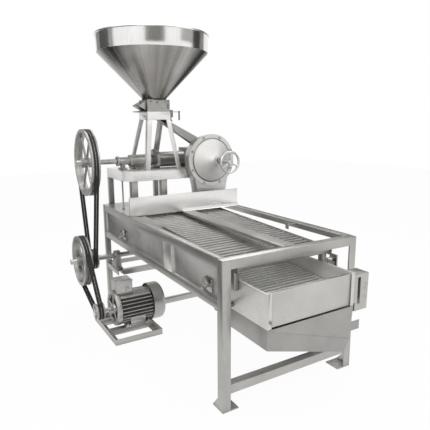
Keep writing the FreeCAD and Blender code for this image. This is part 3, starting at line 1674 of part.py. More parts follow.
def build_drive():
    bore = shaft_r + 0.05
    shapes["big_pulley"] = pulley(upper_belt_x, drive_y, drive_z, big_pulley_r, bore, 6)
    shapes["drive_shaft"] = group([drive_shaft(), drive_bevel()])
    jack_small = pulley(upper_belt_x, drive_y, jack_z, jack_small_r, bore, 0)
    jack_big = pulley(lower_belt_x, drive_y, jack_z, jack_big_r, bore, 5)
    shapes["jack_pulleys"] = group([jack_small, jack_big])
    shapes["jack_shaft"] = group([jack_shaft(), eccentric()])
    upper = belts(upper_belt_x, (drive_y, drive_z), big_pulley_r, (drive_y, jack_z), jack_small_r)
    lower = belts(lower_belt_x, (drive_y, jack_z), jack_big_r, (motor_y, motor_z), motor_pulley_r)
    shapes["upper_belts"] = upper
    shapes["lower_belts"] = lower
    shapes["motor_pulley"] = pulley(lower_belt_x, motor_y, motor_z, motor_pulley_r, motor_shaft_r + 0.05, 0)


def build_motor():
    shapes["motor_base"] = motor_base()
    shapes["motor_body"] = group([fuse([motor_body(), end_bell(), motor_feet()]), foot_bolts()])
    shapes["fan_cowl"] = fan_cowl()
    shapes["motor_shaft"] = group([motor_shaft(), motor_fan()])
    shapes["terminal_box"] = terminal_box()


def build_mill():
    shapes["shaft_housing"] = fuse([shaft_housing(), housing_saddles()])
    shapes["bearings"] = group([shaft_bearings(), case_bearings(), jack_bearings()])
    shapes["gear_case"] = gear_case()
    shapes["mill_casing"] = fuse([mill_casing(), mill_front_plate()])
    shapes["mill_cover"] = mill_cover()
    shapes["mill_bolts"] = group([cover_bolts(), flange_bolts()])
    shapes["fixed_stone"] = fixed_stone()
    shapes["running_stone"] = running_stone()
    shapes["mill_spindle"] = group([mill_spindle(), mill_bevel()])
    shapes["feed_throat"] = feed_throat()
    shapes["feed_chute"] = feed_chute()
    shapes["thrust_cup"] = thrust_cup()
    shapes["adjusting_wheel"] = adjusting_wheel()
    shapes["lock_nut"] = lock_nut()


def build_hopper():
    shapes["hopper"] = hopper()
    shapes["outlet_box"] = group([outlet_box(), gate_rails()])
    shapes["slide_gate"] = slide_gate()
    shapes["lock_screw"] = lock_screw()
    shapes["stand_head"] = fuse([stand_head(), gusset_flap(), rod_guide()])
    shapes["stand_legs"] = stand_legs()


def extent(shape):
    """The tight box round a shape."""
    return shape.optimalBoundingBox(False, False)


def main():
    build_table()
    build_box()
    build_links()
    build_drive()
    build_motor()
    build_mill()
    build_hopper()
    whole = extent(Part.makeCompound(list(shapes.values())))
    shift = V(-(whole.XMin + whole.XMax) / 2, -(whole.YMin + whole.YMax) / 2, 0)
    sides = [round(side, 2) for side in (whole.XLength, whole.YLength, whole.ZLength)]
    print("nodes", len(shapes), "size", sides)
    print("shift", round(shift.x, 3), round(shift.y, 3))
    os.makedirs("parts", exist_ok=True)
    for name, shape in shapes.items():
        shape.translate(shift)
        bad = [s for s in shape.Solids if not s.isValid() or s.Volume <= 0]
        if bad or not shape.Solids:
            print("CHECK", name, len(shape.Solids), "solids", len(bad), "bad")
        shape.exportStep("parts/" + name + ".step")


main()
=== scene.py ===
import json
import math
import bmesh
import bpy
from mathutils import Matrix, Vector

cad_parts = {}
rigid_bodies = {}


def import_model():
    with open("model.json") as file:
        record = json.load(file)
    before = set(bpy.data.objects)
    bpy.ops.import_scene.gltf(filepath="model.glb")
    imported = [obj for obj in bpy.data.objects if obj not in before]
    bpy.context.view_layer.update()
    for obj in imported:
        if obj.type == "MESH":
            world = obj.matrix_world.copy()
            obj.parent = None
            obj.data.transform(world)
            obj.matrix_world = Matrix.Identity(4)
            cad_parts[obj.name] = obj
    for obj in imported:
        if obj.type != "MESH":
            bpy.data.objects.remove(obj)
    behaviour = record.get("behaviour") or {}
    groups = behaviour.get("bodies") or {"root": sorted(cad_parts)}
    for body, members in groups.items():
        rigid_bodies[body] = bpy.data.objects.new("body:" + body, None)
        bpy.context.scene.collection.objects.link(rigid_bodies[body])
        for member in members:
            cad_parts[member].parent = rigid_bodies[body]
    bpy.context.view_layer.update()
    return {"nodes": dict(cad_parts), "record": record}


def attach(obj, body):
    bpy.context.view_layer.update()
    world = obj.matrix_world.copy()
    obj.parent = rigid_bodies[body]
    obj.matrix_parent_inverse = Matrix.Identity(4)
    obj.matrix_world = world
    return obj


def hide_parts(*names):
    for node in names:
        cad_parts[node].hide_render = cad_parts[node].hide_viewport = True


# The looks of the pulse grader. Sizes are millimetres from the table's front left corner on the
# floor, as in the part's source, and place() turns them into metres in the shared frame.

shift_x, shift_y = -296.5, -896.0
lens, sensor = 37.79, 36.0
camera_at = (-1097.93, -1761.49, 1465.33)
camera_right = (0.85648724, -0.51613347, -0.00598713)
camera_up = (0.10703869, 0.16625224, 0.98025655)
camera_ahead = (0.50494784, 0.84021809, -0.19763917)

table_w, table_l = 920.0, 1860.0
drive_y, drive_z, jack_z = 1644.0, 1186.0, 436.0
motor_y, motor_z = 1262.0, 157.0
motor_x0, motor_x1 = -120.0, 120.0
motor_centre = (0, motor_y, motor_z)
motor_r, bell_r, cowl_r, fin_r, fin_step = 112.0, 128.0, 138.0, 126.0, 12.5
base_h, groove_half = 43.0, 9.5
upper_belt_x, lower_belt_x = -170.0, -250.0
big_r, jack_small_r, jack_big_r, motor_pulley_r = 249.0, 80.0, 194.5, 60.0
groove_depth, belt_clear = 13.0, 0.4
shaft_r, motor_shaft_r = 20.0, 14.0
mill_x, mill_front = 730.0, 1337.0
hopper_x, hopper_y = 344.0, 1532.0
smooth_angle, round_angle, flat_angle = math.radians(32), math.radians(38), math.radians(0.6)
merge_distance, sliver = 2e-6, 1e-6


def place(x, y, z):
    """A point of the part's drawing, in metres in the shared frame."""
    return Vector(((x + shift_x) / 1000, (y + shift_y) / 1000, z / 1000))


for start_object in list(bpy.data.objects):
    bpy.data.objects.remove(start_object)
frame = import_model()
nodes = frame["nodes"]
body_of = {n: b for b, members in frame["record"]["behaviour"]["bodies"].items() for n in members}


# Nodes and groups

def feed(tree, socket, value):
    """Links a socket to another one, or sets its value."""
    if isinstance(value, bpy.types.NodeSocket):
        tree.links.new(value, socket)
    else:
        socket.default_value = value


def new_node(tree, kind, inputs=None, **settings):
    """A node with its settings, and with its inputs fed by name or number."""
    made = tree.nodes.new(kind)
    for name, value in settings.items():
        setattr(made, name, value)
    for key, value in (inputs or {}).items():
        feed(tree, made.inputs[key], value)
    return made


def node_group(name, kind, inputs, outputs):
    """An empty node group with named sockets, its input sockets and its last node."""
    group = bpy.data.node_groups.new(name, kind)
    for in_out, sockets in (("INPUT", inputs), ("OUTPUT", outputs)):
        for socket, sort in sockets.items():
            group.interface.new_socket(name=socket, in_out=in_out, socket_type="NodeSocket" + sort)
    return group, group.nodes.new("NodeGroupInput").outputs, group.nodes.new("NodeGroupOutput")


def shader_group(name, inputs, outputs):
    """A shader node group whose outputs are all numbers."""
    return node_group(name, "ShaderNodeTree", inputs, {key: "Float" for key in outputs})


def give(group, end, **outputs):
    """Links the group's results to its output sockets."""
    for name, socket in outputs.items():
        group.links.new(socket, end.inputs[name])
    return group


def maths(tree, operation, a, b, clamp=False, c=0.5):
    """A math node between sockets or numbers; gives its output."""
    inputs = {0: a, 1: b, 2: c}
    return new_node(tree, "ShaderNodeMath", inputs, operation=operation, use_clamp=clamp).outputs[0]


def vector_maths(tree, operation, *inputs):
    """The outputs of a vector math node between sockets or vectors."""
    return new_node(tree, "ShaderNodeVectorMath", dict(enumerate(inputs)), operation=operation).outputs


def noise(tree, vector, scale, detail=4.0, rough=0.6):
    """Noise between 0 and 1."""
    inputs = {"Vector": vector, "Scale": scale, "Detail": detail, "Roughness": rough}
    return new_node(tree, "ShaderNodeTexNoise", inputs).outputs["Fac"]


def spread(tree, value, low, high):
    """A value from low to high, stretched to 0 to 1."""
    inputs = {"Value": value, "From Min": low, "From Max": high}
    return new_node(tree, "ShaderNodeMapRange", inputs).outputs["Result"]


def blend_colour(tree, amount, a, b):
    """The colour a, with a share of b."""
    return new_node(tree, "ShaderNodeMix", {0: amount, 6: a, 7: b}, data_type="RGBA").outputs[2]


def grain_group():
    """Brushed grain, stretched along the sheet."""
    sockets = {"Vector": "Vector", "Stretch": "Vector", "Scale": "Float"}
    group, given, end = shader_group("brushed_grain", sockets, ("Tone", "Height"))
    along = vector_maths(group, "MULTIPLY", given["Vector"], given["Stretch"])[0]
    fine = noise(group, along, given["Scale"], 5.0, 0.65)
    return give(group, end, Tone=spread(group, fine, 0.32, 0.68), Height=fine)


def spun_group():
    """Circular grain about an axis along Y or X, from a centre."""
    sockets = {"Vector": "Vector", "Centre": "Vector", "Plane": "Vector", "Scale": "Float"}
    group, given, end = shader_group("spun_grain", sockets, ("Tone", "Height"))
    away = vector_maths(group, "SUBTRACT", given["Vector"], given["Centre"])[0]
    flat = vector_maths(group, "MULTIPLY", away, given["Plane"])[0]
    length = vector_maths(group, "LENGTH", flat)["Value"]
    drift = maths(group, "MULTIPLY", noise(group, flat, 3.0, 1.0), 0.004)
    mix = new_node(group, "ShaderNodeCombineXYZ", {"X": length, "Y": drift}).outputs[0]
    rings = noise(group, mix, given["Scale"], 4.0, 0.7)
    return give(group, end, Tone=spread(group, rings, 0.34, 0.66), Height=rings)


def reflection_fans_group():
    """Painted reflection: tone that changes round a vertical axis, in fans that run down a cone, for the
    light and dark bands that the cone mirrors.
    """
    sockets = {"Vector": "Vector", "Centre": "Vector", "Scale": "Float"}
    group, given, end = shader_group("fans", sockets, ("Tone",))
    away = vector_maths(group, "SUBTRACT", given["Vector"], given["Centre"])[0]
    flat = vector_maths(group, "MULTIPLY", away, (1, 1, 0))[0]
    unit = vector_maths(group, "NORMALIZE", flat)[0]
    inputs = {"Vector": unit, "Angle": math.radians(-100)}
    turned = new_node(group, "ShaderNodeVectorRotate", inputs, rotation_type="Z_AXIS").outputs[0]
    coarse = noise(group, turned, given["Scale"], 3.0, 0.6)
    return give(group, end, Tone=spread(group, coarse, 0.38, 0.62))


def wear_group():
    """Bright rubbed edges: where a rounded normal leaves the true one."""
    group, given, end = shader_group("edge_wear", {"Radius": "Float", "Vector": "Vector"}, ("Wear",))
    rounded = new_node(group, "ShaderNodeBevel", {"Radius": given["Radius"]}, samples=3).outputs["Normal"]
    plain = new_node(group, "ShaderNodeNewGeometry").outputs["Normal"]
    dot = vector_maths(group, "DOT_PRODUCT", rounded, plain)["Value"]
    edge = spread(group, maths(group, "SUBTRACT", 1.0, dot), 0.01, 0.16)
    broken = spread(group, noise(group, given["Vector"], 60.0, 3.0), 0.35, 0.62)
    return give(group, end, Wear=maths(group, "MULTIPLY", edge, broken, True))


def dust_group():
    """Fine meal that settles on faces that look up, and handling marks everywhere."""
    group, given, end = shader_group("dust", {"Vector": "Vector", "Amount": "Float"}, ("Dust", "Marks"))
    plain = new_node(group, "ShaderNodeNewGeometry").outputs["Normal"]
    upward = new_node(group, "ShaderNodeSeparateXYZ", {0: plain}).outputs["Z"]
    patch = spread(group, noise(group, given["Vector"], 9.0, 5.0), 0.42, 0.7)
    settled = maths(group, "MULTIPLY", spread(group, upward, 0.55, 1.0), patch)
    marks = spread(group, noise(group, given["Vector"], 4.5, 3.0), 0.3, 0.7)
    return give(group, end, Dust=maths(group, "MULTIPLY", settled, given["Amount"], True), Marks=marks)


def corner_shade_group():
    """Painted shade in corners and seams: darker where ambient occlusion finds near faces, broken up by
    noise.
    """
    group, given, end = shader_group("corner_shade", {"Reach": "Float", "Vector": "Vector"}, ("Grime",))
    corner = new_node(group, "ShaderNodeAmbientOcclusion", {"Distance": given["Reach"]}, samples=4)
    hollow = spread(group, maths(group, "SUBTRACT", 1.0, corner.outputs["AO"]), 0.12, 0.85)
    broken = maths(group, "MULTIPLY_ADD", noise(group, given["Vector"], 35.0, 4.0), 0.8, c=0.55)
    return give(group, end, Grime=maths(group, "MULTIPLY", hollow, broken, True))


groups = {"grain": grain_group(), "spun": spun_group(), "wear": wear_group(), "dust": dust_group(),
          "corner_shade": corner_shade_group(), "fans": reflection_fans_group()}


def use(tree, key, **values):
    """The outputs of one of the groups, used in a material."""
    return new_node(tree, "ShaderNodeGroup", values, node_tree=groups[key]).outputs


# Finishes

# corner_shade_colour is the near black that the painted shade in corners and seams darkens towards.
meal_colour, corner_shade_colour = (0.62, 0.57, 0.48, 1), (0.035, 0.033, 0.03, 1)
relief_depth, rough_range = 0.0008, 0.12
grain_share, marks_share, reflection_share, meal_share = 0.55, 0.45, 0.7, 0.35


def stained(tree, where, tone, stain, smudge):
    """Darker spots all over, and one dark smudge round a place."""
    if stain:
        spots = spread(tree, noise(tree, where, 5.5, 6.0, 0.62), 0.5, 0.74)
        tone = maths(tree, "SUBTRACT", tone, maths(tree, "MULTIPLY", spots, stain), True)
    if smudge:
        away = vector_maths(tree, "DISTANCE", where, smudge[0])["Value"]
        near = spread(tree, away, smudge[1], 0.0)
        broken = spread(tree, noise(tree, where, 24.0, 5.0, 0.6), 0.36, 0.58)
        tone = maths(tree, "SUBTRACT", tone, maths(tree, "MULTIPLY", near, broken), True)
    return tone


def surface(name, dark, light, rough, metal, stretch=(1, 1, 1), scale=14.0, bump=0.12, spun=None,
            wear=(0.0012, 0.5), dust=0.3, corner_shade=(0.035, 0.55), stretchy=0.0, axis="Z", reflection_streaks=None,
            stain=0.0, smudge=None):
    """A finish by Object coordinates: grain, tones with painted reflection fans where asked, rubbed edges,
    dust, painted corner shade, roughness and bump.
    """
    material = bpy.data.materials.new(name)
    material.use_nodes = True
    tree = material.node_tree
    shader = tree.nodes["Principled BSDF"]
    where = new_node(tree, "ShaderNodeTexCoord").outputs["Object"]
    if spun:
        grain = use(tree, "spun", Vector=where, Centre=spun[0], Plane=spun[1], Scale=scale)
    else:
        grain = use(tree, "grain", Vector=where, Stretch=stretch, Scale=scale)
    worn = use(tree, "wear", Radius=wear[0], Vector=where)["Wear"]
    meal = use(tree, "dust", Vector=where, Amount=dust)
    marks = maths(tree, "MULTIPLY", meal["Marks"], marks_share)
    tone = maths(tree, "ADD", maths(tree, "MULTIPLY", grain["Tone"], grain_share), marks)
    # Painted reflection: light and dark fans round the cone's axis, mixed into its tone.
    if reflection_streaks:
        fans = use(tree, "fans", Vector=where, Centre=reflection_streaks[0], Scale=reflection_streaks[1])["Tone"]
        fans = maths(tree, "MULTIPLY", fans, reflection_share)
        tone = maths(tree, "ADD", maths(tree, "MULTIPLY", tone, 1 - reflection_share), fans)
    tone = stained(tree, where, tone, stain, smudge)
    colour = blend_colour(tree, tone, (*dark, 1), (*light, 1))
    bright = [min(1.0, c * 1.25 + 0.04) for c in light]
    colour = blend_colour(tree, maths(tree, "MULTIPLY", worn, wear[1]), colour, (*bright, 1))
    colour = blend_colour(tree, maths(tree, "MULTIPLY", meal["Dust"], meal_share), colour, meal_colour)
    # Painted shade: corners and seams darkened towards a near black by ambient occlusion.
    corner_shading = use(tree, "corner_shade", Reach=corner_shade[0], Vector=where)["Grime"]
    colour = blend_colour(tree, maths(tree, "MULTIPLY", corner_shading, corner_shade[1]), colour, corner_shade_colour)
    tree.links.new(colour, shader.inputs["Base Color"])
    if stretchy:
        around = new_node(tree, "ShaderNodeTangent", direction_type="RADIAL", axis=axis)
        tree.links.new(around.outputs["Tangent"], shader.inputs["Tangent"])
        shader.inputs["Anisotropic"].default_value = stretchy
    varied = maths(tree, "MULTIPLY", maths(tree, "SUBTRACT", tone, 0.5), rough_range)
    varied = maths(tree, "ADD", rough, varied)
    varied = maths(tree, "ADD", varied, maths(tree, "MULTIPLY", meal["Dust"], 0.2), True)
    tree.links.new(varied, shader.inputs["Roughness"])
    shader.inputs["Metallic"].default_value = metal
    inputs = {"Strength": bump, "Distance": relief_depth, "Height": grain["Height"]}
    relief = new_node(tree, "ShaderNodeBump", inputs)
    tree.links.new(relief.outputs["Normal"], shader.inputs["Normal"])
    return material


along_x, along_y, along_z = (2, 60, 60), (60, 2, 60), (60, 60, 2)
steel_dark, steel_light = (0.37, 0.36, 0.345), (0.57, 0.555, 0.535)
looks = {
    "sheet_x": surface("sheet_grain_x", (0.46, 0.45, 0.435), (0.66, 0.65, 0.63), 0.34, 0.9, along_x),
    "sheet_y": surface("sheet_grain_y", (0.44, 0.43, 0.415), (0.66, 0.645, 0.625), 0.34, 0.85, along_y),
    "sheet_z": surface("sheet_grain_z", (0.42, 0.41, 0.39), (0.62, 0.605, 0.58), 0.34, 0.9, along_z),
    # Painted light: a lighter copy of the sheet steel for the deflector, the platform and the stand's head,
    # making up for shade that falls on them.
    "pale": surface("sheet_painted_lighter", (0.78, 0.77, 0.755), (0.96, 0.95, 0.935), 0.3, 0.85, along_x, bump=0.1,
                    corner_shade=(0.02, 0.4)),
    # Painted shade: a darker copy of the sheet steel for the collecting pan.
    "pan": surface("pan_sheet_painted_darker", (0.3, 0.292, 0.28), (0.46, 0.45, 0.435), 0.34, 0.9, along_x),
    # Painted light: a lighter, less metallic copy of the sheet steel for the box walls, making up for the
    # shade inside the box.
    "inside": surface("box_inside_painted_lighter", (0.58, 0.57, 0.55), (0.84, 0.825, 0.8), 0.42, 0.4, along_y),
    "panel": surface("side_panel_sheet", (0.42, 0.41, 0.395), (0.68, 0.665, 0.64), 0.36, 0.8, along_y,
                     stain=0.6, smudge=(place(8, 1165, 705), 0.13)),
    # Painted light: a lighter copy of the sheet for the side panels' returns and the motor's fins and feet.
    "rib": surface("frame_sheet_painted_lighter", (0.5, 0.49, 0.47), (0.76, 0.745, 0.72), 0.36, 0.8, along_z),
    "angle_x": surface("angle_grain_x", steel_dark, steel_light, 0.38, 0.95, (3, 50, 50), 12.0, 0.16),
    "angle_y": surface("angle_grain_y", (0.36, 0.35, 0.335), (0.57, 0.555, 0.535), 0.38, 0.9, (50, 3, 50),
                       12.0, 0.16),
    "angle_z": surface("angle_grain_z", (0.37, 0.36, 0.345), (0.56, 0.545, 0.525), 0.38, 0.95, (50, 50, 3),
                       12.0, 0.16),
    # Painted light: a lighter copy of the upright angle steel for the stand's legs and a band of the side
    # rails.
    "stand": surface("stand_bar_painted_lighter", (0.7, 0.69, 0.67), (0.92, 0.91, 0.89), 0.34, 0.9, (50, 50, 3), 12.0, 0.12,
                     corner_shade=(0.025, 0.6)),
    "deck": surface("deck_steel", (0.34, 0.33, 0.315), (0.6, 0.585, 0.56), 0.36, 0.9, (3, 40, 40), 12.0, 0.14,
                    corner_shade=(0.02, 0.9)),
    # Painted light: a lighter, less metallic copy of the deck steel for the lower deck, which lies in the
    # upper deck's shade.
    "lower": surface("lower_deck_painted_lighter", (0.57, 0.56, 0.54), (0.92, 0.905, 0.88), 0.36, 0.75, (3, 40, 40),
                     12.0, 0.14, corner_shade=(0.016, 0.9)),
    "turned": surface("turned_steel", (0.34, 0.33, 0.315), (0.56, 0.55, 0.53), 0.25, 1.0, (60, 20, 20),
                      bump=0.08),
    "band": surface("hopper_band_sheet", (0.76, 0.75, 0.735), (0.96, 0.95, 0.935), 0.15, 1.0, (24, 24, 1.2),
                    10.0, 0.06, stretchy=0.6, axis="Z", corner_shade=(0.02, 0.3)),
    # The cone's wide range from dark to light carries its painted reflection fans.
    "cone": surface("hopper_cone_sheet", (0.2, 0.195, 0.187), (0.66, 0.645, 0.62), 0.28, 0.95, (30, 30, 1.0),
                    10.0, 0.1, stretchy=0.6, axis="Z", reflection_streaks=(place(hopper_x, hopper_y, 0), 3.4),
                    corner_shade=(0.01, 0.0)),
    "spun": surface("spun_cover", (0.6, 0.59, 0.58), (0.78, 0.77, 0.76), 0.6, 0.68, scale=420.0, bump=0.1,
                    spun=(place(mill_x, 0, drive_z), (1, 0, 1)), stretchy=0.2, axis="Y"),
    "wheel": surface("wheel_turned", (0.3, 0.294, 0.285), (0.58, 0.57, 0.55), 0.4, 0.95, scale=120.0,
                     bump=0.25, corner_shade=(0.02, 0.75)),
    # Cast iron grey for the gate, the screws and the stand head's end, and painted shade in the mill cover's
    # step.
    "cast_and_step_shade": surface("cast_iron_grey_and_step_shade", (0.13, 0.128, 0.124), (0.3, 0.296, 0.288), 0.42, 0.9, scale=160.0,
                    bump=0.35),
    "housing": surface("cast_housing", (0.25, 0.243, 0.232), (0.44, 0.43, 0.415), 0.36, 0.95, scale=120.0,
                       bump=0.22),
    "motor": surface("motor_silver", (0.4, 0.393, 0.38), (0.66, 0.65, 0.63), 0.4, 0.8, scale=150.0, bump=0.22,
                     corner_shade=(0.013, 0.97)),
    "cowl": surface("cowl_silver", (0.34, 0.333, 0.32), (0.54, 0.53, 0.515), 0.32, 0.85, scale=150.0,
                    bump=0.12, corner_shade=(0.016, 0.6)),
    "belt": surface("belt_rubber", (0.008, 0.008, 0.008), (0.026, 0.025, 0.024), 0.72, 0.0, scale=90.0,
                    bump=0.3, wear=(0.0008, 0.1), dust=0.08),
    "stone": surface("grinding_stone", (0.3, 0.29, 0.26), (0.5, 0.48, 0.44), 0.85, 0.0, scale=300.0,
                     bump=0.6),
    "casing": surface("casing_sheet", (0.52, 0.51, 0.495), (0.76, 0.75, 0.735), 0.36, 0.85, along_z,
                      corner_shade=(0.03, 0.6)),
    "outlet": surface("outlet_sheet", (0.3, 0.29, 0.28), (0.52, 0.51, 0.49), 0.34, 0.95, along_x,
                      corner_shade=(0.03, 0.8)),
    # Painted shade: a much darker copy of the sheet steel for the feed chute, holding down the light that its
    # top face mirrors.
    "chute": surface("chute_sheet_painted_darker", (0.1, 0.098, 0.094), (0.22, 0.215, 0.205), 0.34, 0.95, along_z,
                     corner_shade=(0.03, 0.8)),
    # Near black: rubber for the hopper's gasket, and painted shade on the motor's barrel and in its bell's
    # recess.
    "dark": surface("gap_shade_and_rubber", (0.02, 0.02, 0.02), (0.05, 0.05, 0.048), 0.7, 0.2, scale=80.0, bump=0.2),
}


# Meshes

class Build:
    """Collects solids in one mesh, in the part's millimetres."""

    def __init__(self):
        self.mesh = bmesh.new()

    def face_ring(self, rings, close=True):
        """Skins a list of point rings; each ring is closed."""
        made = [[self.mesh.verts.new(place(*p)) for p in ring] for ring in rings]
        after = made[1:] + made[:1] if close else made[1:]
        for a, b in zip(made, after):
            n = len(a)
            for k in range(n):
                self.mesh.faces.new((a[k], a[(k + 1) % n], b[(k + 1) % n], b[k]))
        return made

    def caps(self, made):
        """Closes both ends of a skin."""
        self.mesh.faces.new(list(reversed(made[0])))
        self.mesh.faces.new(made[-1])

    def block(self, x0, y0, z0, x1, y1, z1):
        """A box between two corners."""
        ring = [(x0, y0), (x1, y0), (x1, y1), (x0, y1)]
        self.caps(self.face_ring([[(x, y, z) for x, y in ring] for z in (z0, z1)], False))

    def turn(self, profile, at, axis, steps=96):
        """A closed profile of (radius, along) about an axis line through a point."""
        rings = []
        for k in range(steps):
            a = 2 * math.pi * k / steps
            c, s = math.cos(a), math.sin(a)
            ring = []
            for r, h in profile:
                if axis == "x":
                    ring.append((h, at[1] + r * c, at[2] + r * s))
                elif axis == "y":
                    ring.append((at[0] + r * c, h, at[2] - r * s))
                else:
                    ring.append((at[0] + r * c, at[1] + r * s, h))
            rings.append(ring)
        self.face_ring(rings)

    def path(self, points, r, steps=12):
        """A round bead or rod along points."""
        points = [Vector(p) for p in points]
        rings = []
        for k, p in enumerate(points):
            ahead = (points[min(k + 1, len(points) - 1)] - points[max(k - 1, 0)]).normalized()
            side = ahead.cross(Vector((0.13, 0.21, 0.97))).normalized()
            up = ahead.cross(side)
            radius = r[k] if isinstance(r, list) else r
            rings.append([tuple(p + radius * (math.cos(t) * side + math.sin(t) * up))
                          for t in [2 * math.pi * j / steps for j in range(steps)]])
        self.caps(self.face_ring(rings, False))

    def ring_bar(self, at, axis, big, small, steps=96, around=20):
        """A round bar bent to a ring about an axis line through a point."""
        along = at["xyz".index(axis)]
        angles = [2 * math.pi * k / around for k in range(around)]
        profile = [(big + small * math.cos(a), along + small * math.sin(a)) for a in angles]
        self.turn(profile, at, axis, steps)

    def prism(self, outline, vector):
        """An outline of points pushed along a vector."""
        other = [tuple(Vector(p) + Vector(vector)) for p in outline]
        self.caps(self.face_ring([outline, other], False))


def disc(r0, r1, low, high):
    """The profile of a plain ring or disc, for turn()."""
    return [(r0, low), (r1, low), (r1, high), (r0, high)]


def tray(corners, faces, thick):
    """Sheet walls of one thickness, folded from named corners, with the sheet on their inner side."""
    build = Build()
    points = [build.mesh.verts.new(place(*p)) for p in corners]
    for face in faces:
        build.mesh.faces.new([points[k] for k in face])
    bmesh.ops.recalc_face_normals(build.mesh, faces=build.mesh.faces)
    centre = sum((v.co for v in points), Vector()) / len(points)
    build.mesh.faces.ensure_lookup_table()
    first = build.mesh.faces[0]
    if first.normal.dot(first.calc_center_median() - centre) < 0:
        bmesh.ops.reverse_faces(build.mesh, faces=build.mesh.faces)
    bmesh.ops.solidify(build.mesh, geom=build.mesh.faces, thickness=thick / 1000)
    return build


def baked(obj):
    """Turns an object with its modifiers into a plain mesh."""
    depsgraph = bpy.context.evaluated_depsgraph_get()
    made = bpy.data.meshes.new_from_object(obj.evaluated_get(depsgraph))
    obj.modifiers.clear()
    obj.data = made


def finish_mesh(obj, bevel=0.0):
    """Outward normals, rounded edges and smooth shading, made into a plain mesh."""
    data = obj.data
    work = bmesh.new()
    work.from_mesh(data)
    bmesh.ops.remove_doubles(work, verts=work.verts, dist=merge_distance)
    bmesh.ops.dissolve_degenerate(work, dist=sliver, edges=work.edges)
    bmesh.ops.recalc_face_normals(work, faces=work.faces)
    work.to_mesh(data)
    work.free()
    if bevel:
        rounding = obj.modifiers.new("round", "BEVEL")
        rounding.width = bevel / 1000
        rounding.segments = 2
        rounding.limit_method = "ANGLE"
        rounding.angle_limit = round_angle
        baked(obj)
    for polygon in obj.data.polygons:
        polygon.use_smooth = True
    obj.data.set_sharp_from_angle(angle=smooth_angle)
    return obj


def linked(name, data):
    """A new object in the scene."""
    obj = bpy.data.objects.new(name, data)
    bpy.context.scene.collection.objects.link(obj)
    return obj


def add_object(name, data, look, body, replaced=()):
    """An object with its finish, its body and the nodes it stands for."""
    obj = linked(name, data)
    obj.data.materials.clear()
    obj.data.materials.append(looks[look])
    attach(obj, body)
    if replaced:
        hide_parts(*replaced)
    return obj


def piece(name, build, look, body, replaced=(), bevel=0.0):
    """A finished piece made of a build's solids."""
    data = bpy.data.meshes.new(name)
    build.mesh.to_mesh(data)
    build.mesh.free()
    obj = add_object(name, data, look, body, replaced)
    return finish_mesh(obj, bevel)


def refined(node, look, bevel):
    """A copy of one of the part's nodes with rounded edges, which stands for it."""
    data = nodes[node].data.copy()
    work = bmesh.new()
    work.from_mesh(data)
    bmesh.ops.remove_doubles(work, verts=work.verts, dist=merge_distance)
    bmesh.ops.dissolve_limit(work, angle_limit=flat_angle, verts=work.verts, edges=work.edges)
    work.to_mesh(data)
    work.free()
    obj = add_object(node + "_finished", data, look, body_of[node], (node,))
    return finish_mesh(obj, bevel)


def second_look(obj, look, inside):
    """Gives another finish to the faces of a piece that a test of their centre and normal picks."""
    obj.data.materials.append(looks[look])
    for face in obj.data.polygons:
        x, y, z = (c * 1000 - d for c, d in zip(face.center, (shift_x, shift_y, 0)))
        if inside(x, y, z, face.normal):
            face.material_index = 1


# Repeats with geometry nodes

right_angle = math.radians(90)


def repeat_group(name, inputs):
    """An empty group that repeats a mesh Count times."""
    sockets = {"Geometry": "Geometry", "Count": "Int", **inputs, "Material": "Material"}
    return node_group(name, "GeometryNodeTree", sockets, {"Geometry": "Geometry"})


def instances(group, given, step, turn=None):
    """The mesh on a row of points, or turned on the spot."""
    line = new_node(group, "GeometryNodeMeshLine", {"Count": given["Count"], "Offset": step}, mode="OFFSET")
    inputs = {"Points": line.outputs["Mesh"], "Instance": given["Geometry"]}
    if turn is not None:
        inputs["Rotation"] = new_node(group, "ShaderNodeCombineXYZ", {"Z": turn}).outputs[0]
    return new_node(group, "GeometryNodeInstanceOnPoints", inputs).outputs["Instances"]


def end_group(group, given, end, copies):
    """Ends a repeat: real meshes instead of instances, in the given material."""
    real = new_node(group, "GeometryNodeRealizeInstances", {"Geometry": copies}).outputs["Geometry"]
    inputs = {"Geometry": real, "Material": given["Material"]}
    return give(group, end, Geometry=new_node(group, "GeometryNodeSetMaterial", inputs).outputs["Geometry"])


def row_group():
    """Copies of the object's mesh in a straight row."""
    group, given, end = repeat_group("row_of", {"Step": "Vector"})
    return end_group(group, given, end, instances(group, given, given["Step"]))


def circle_group():
    """Copies turned from First by Step round an axis through Centre; Turn brings Z onto the axis."""
    inputs = {"Centre": "Vector", "Turn": "Rotation", "First": "Float", "Step": "Float"}
    group, given, end = repeat_group("circle_of", inputs)
    index = new_node(group, "GeometryNodeInputIndex").outputs[0]
    angle = maths(group, "MULTIPLY_ADD", index, given["Step"], c=given["First"])
    copies = instances(group, given, (0, 0, 0), angle)
    transform = {"Geometry": copies, "Translation": given["Centre"], "Rotation": given["Turn"]}
    copies = new_node(group, "GeometryNodeTransform", transform).outputs["Geometry"]
    return end_group(group, given, end, copies)


repeats = {"row": row_group(), "circle": circle_group()}


def repeat(obj, key, look, **values):
    """Runs a repeat on an object and keeps the result as its plain mesh."""
    modifier = obj.modifiers.new(key, "NODES")
    modifier.node_group = repeats[key]
    values["Material"] = looks[look]
    for item in repeats[key].interface.items_tree:
        if item.item_type == "SOCKET" and item.in_out == "INPUT" and item.name in values:
            modifier[item.identifier] = values[item.name]
    baked(obj)
    return finish_mesh(obj)


def raw_piece(name, build, look, body, replaced=()):
    """A unit mesh whose millimetres are counted from its own origin, for a repeat."""
    data = bpy.data.meshes.new(name)
    for v in build.mesh.verts:
        v.co -= place(0, 0, 0)
    build.mesh.to_mesh(data)
    build.mesh.free()
    return add_object(name, data, look, body, replaced)


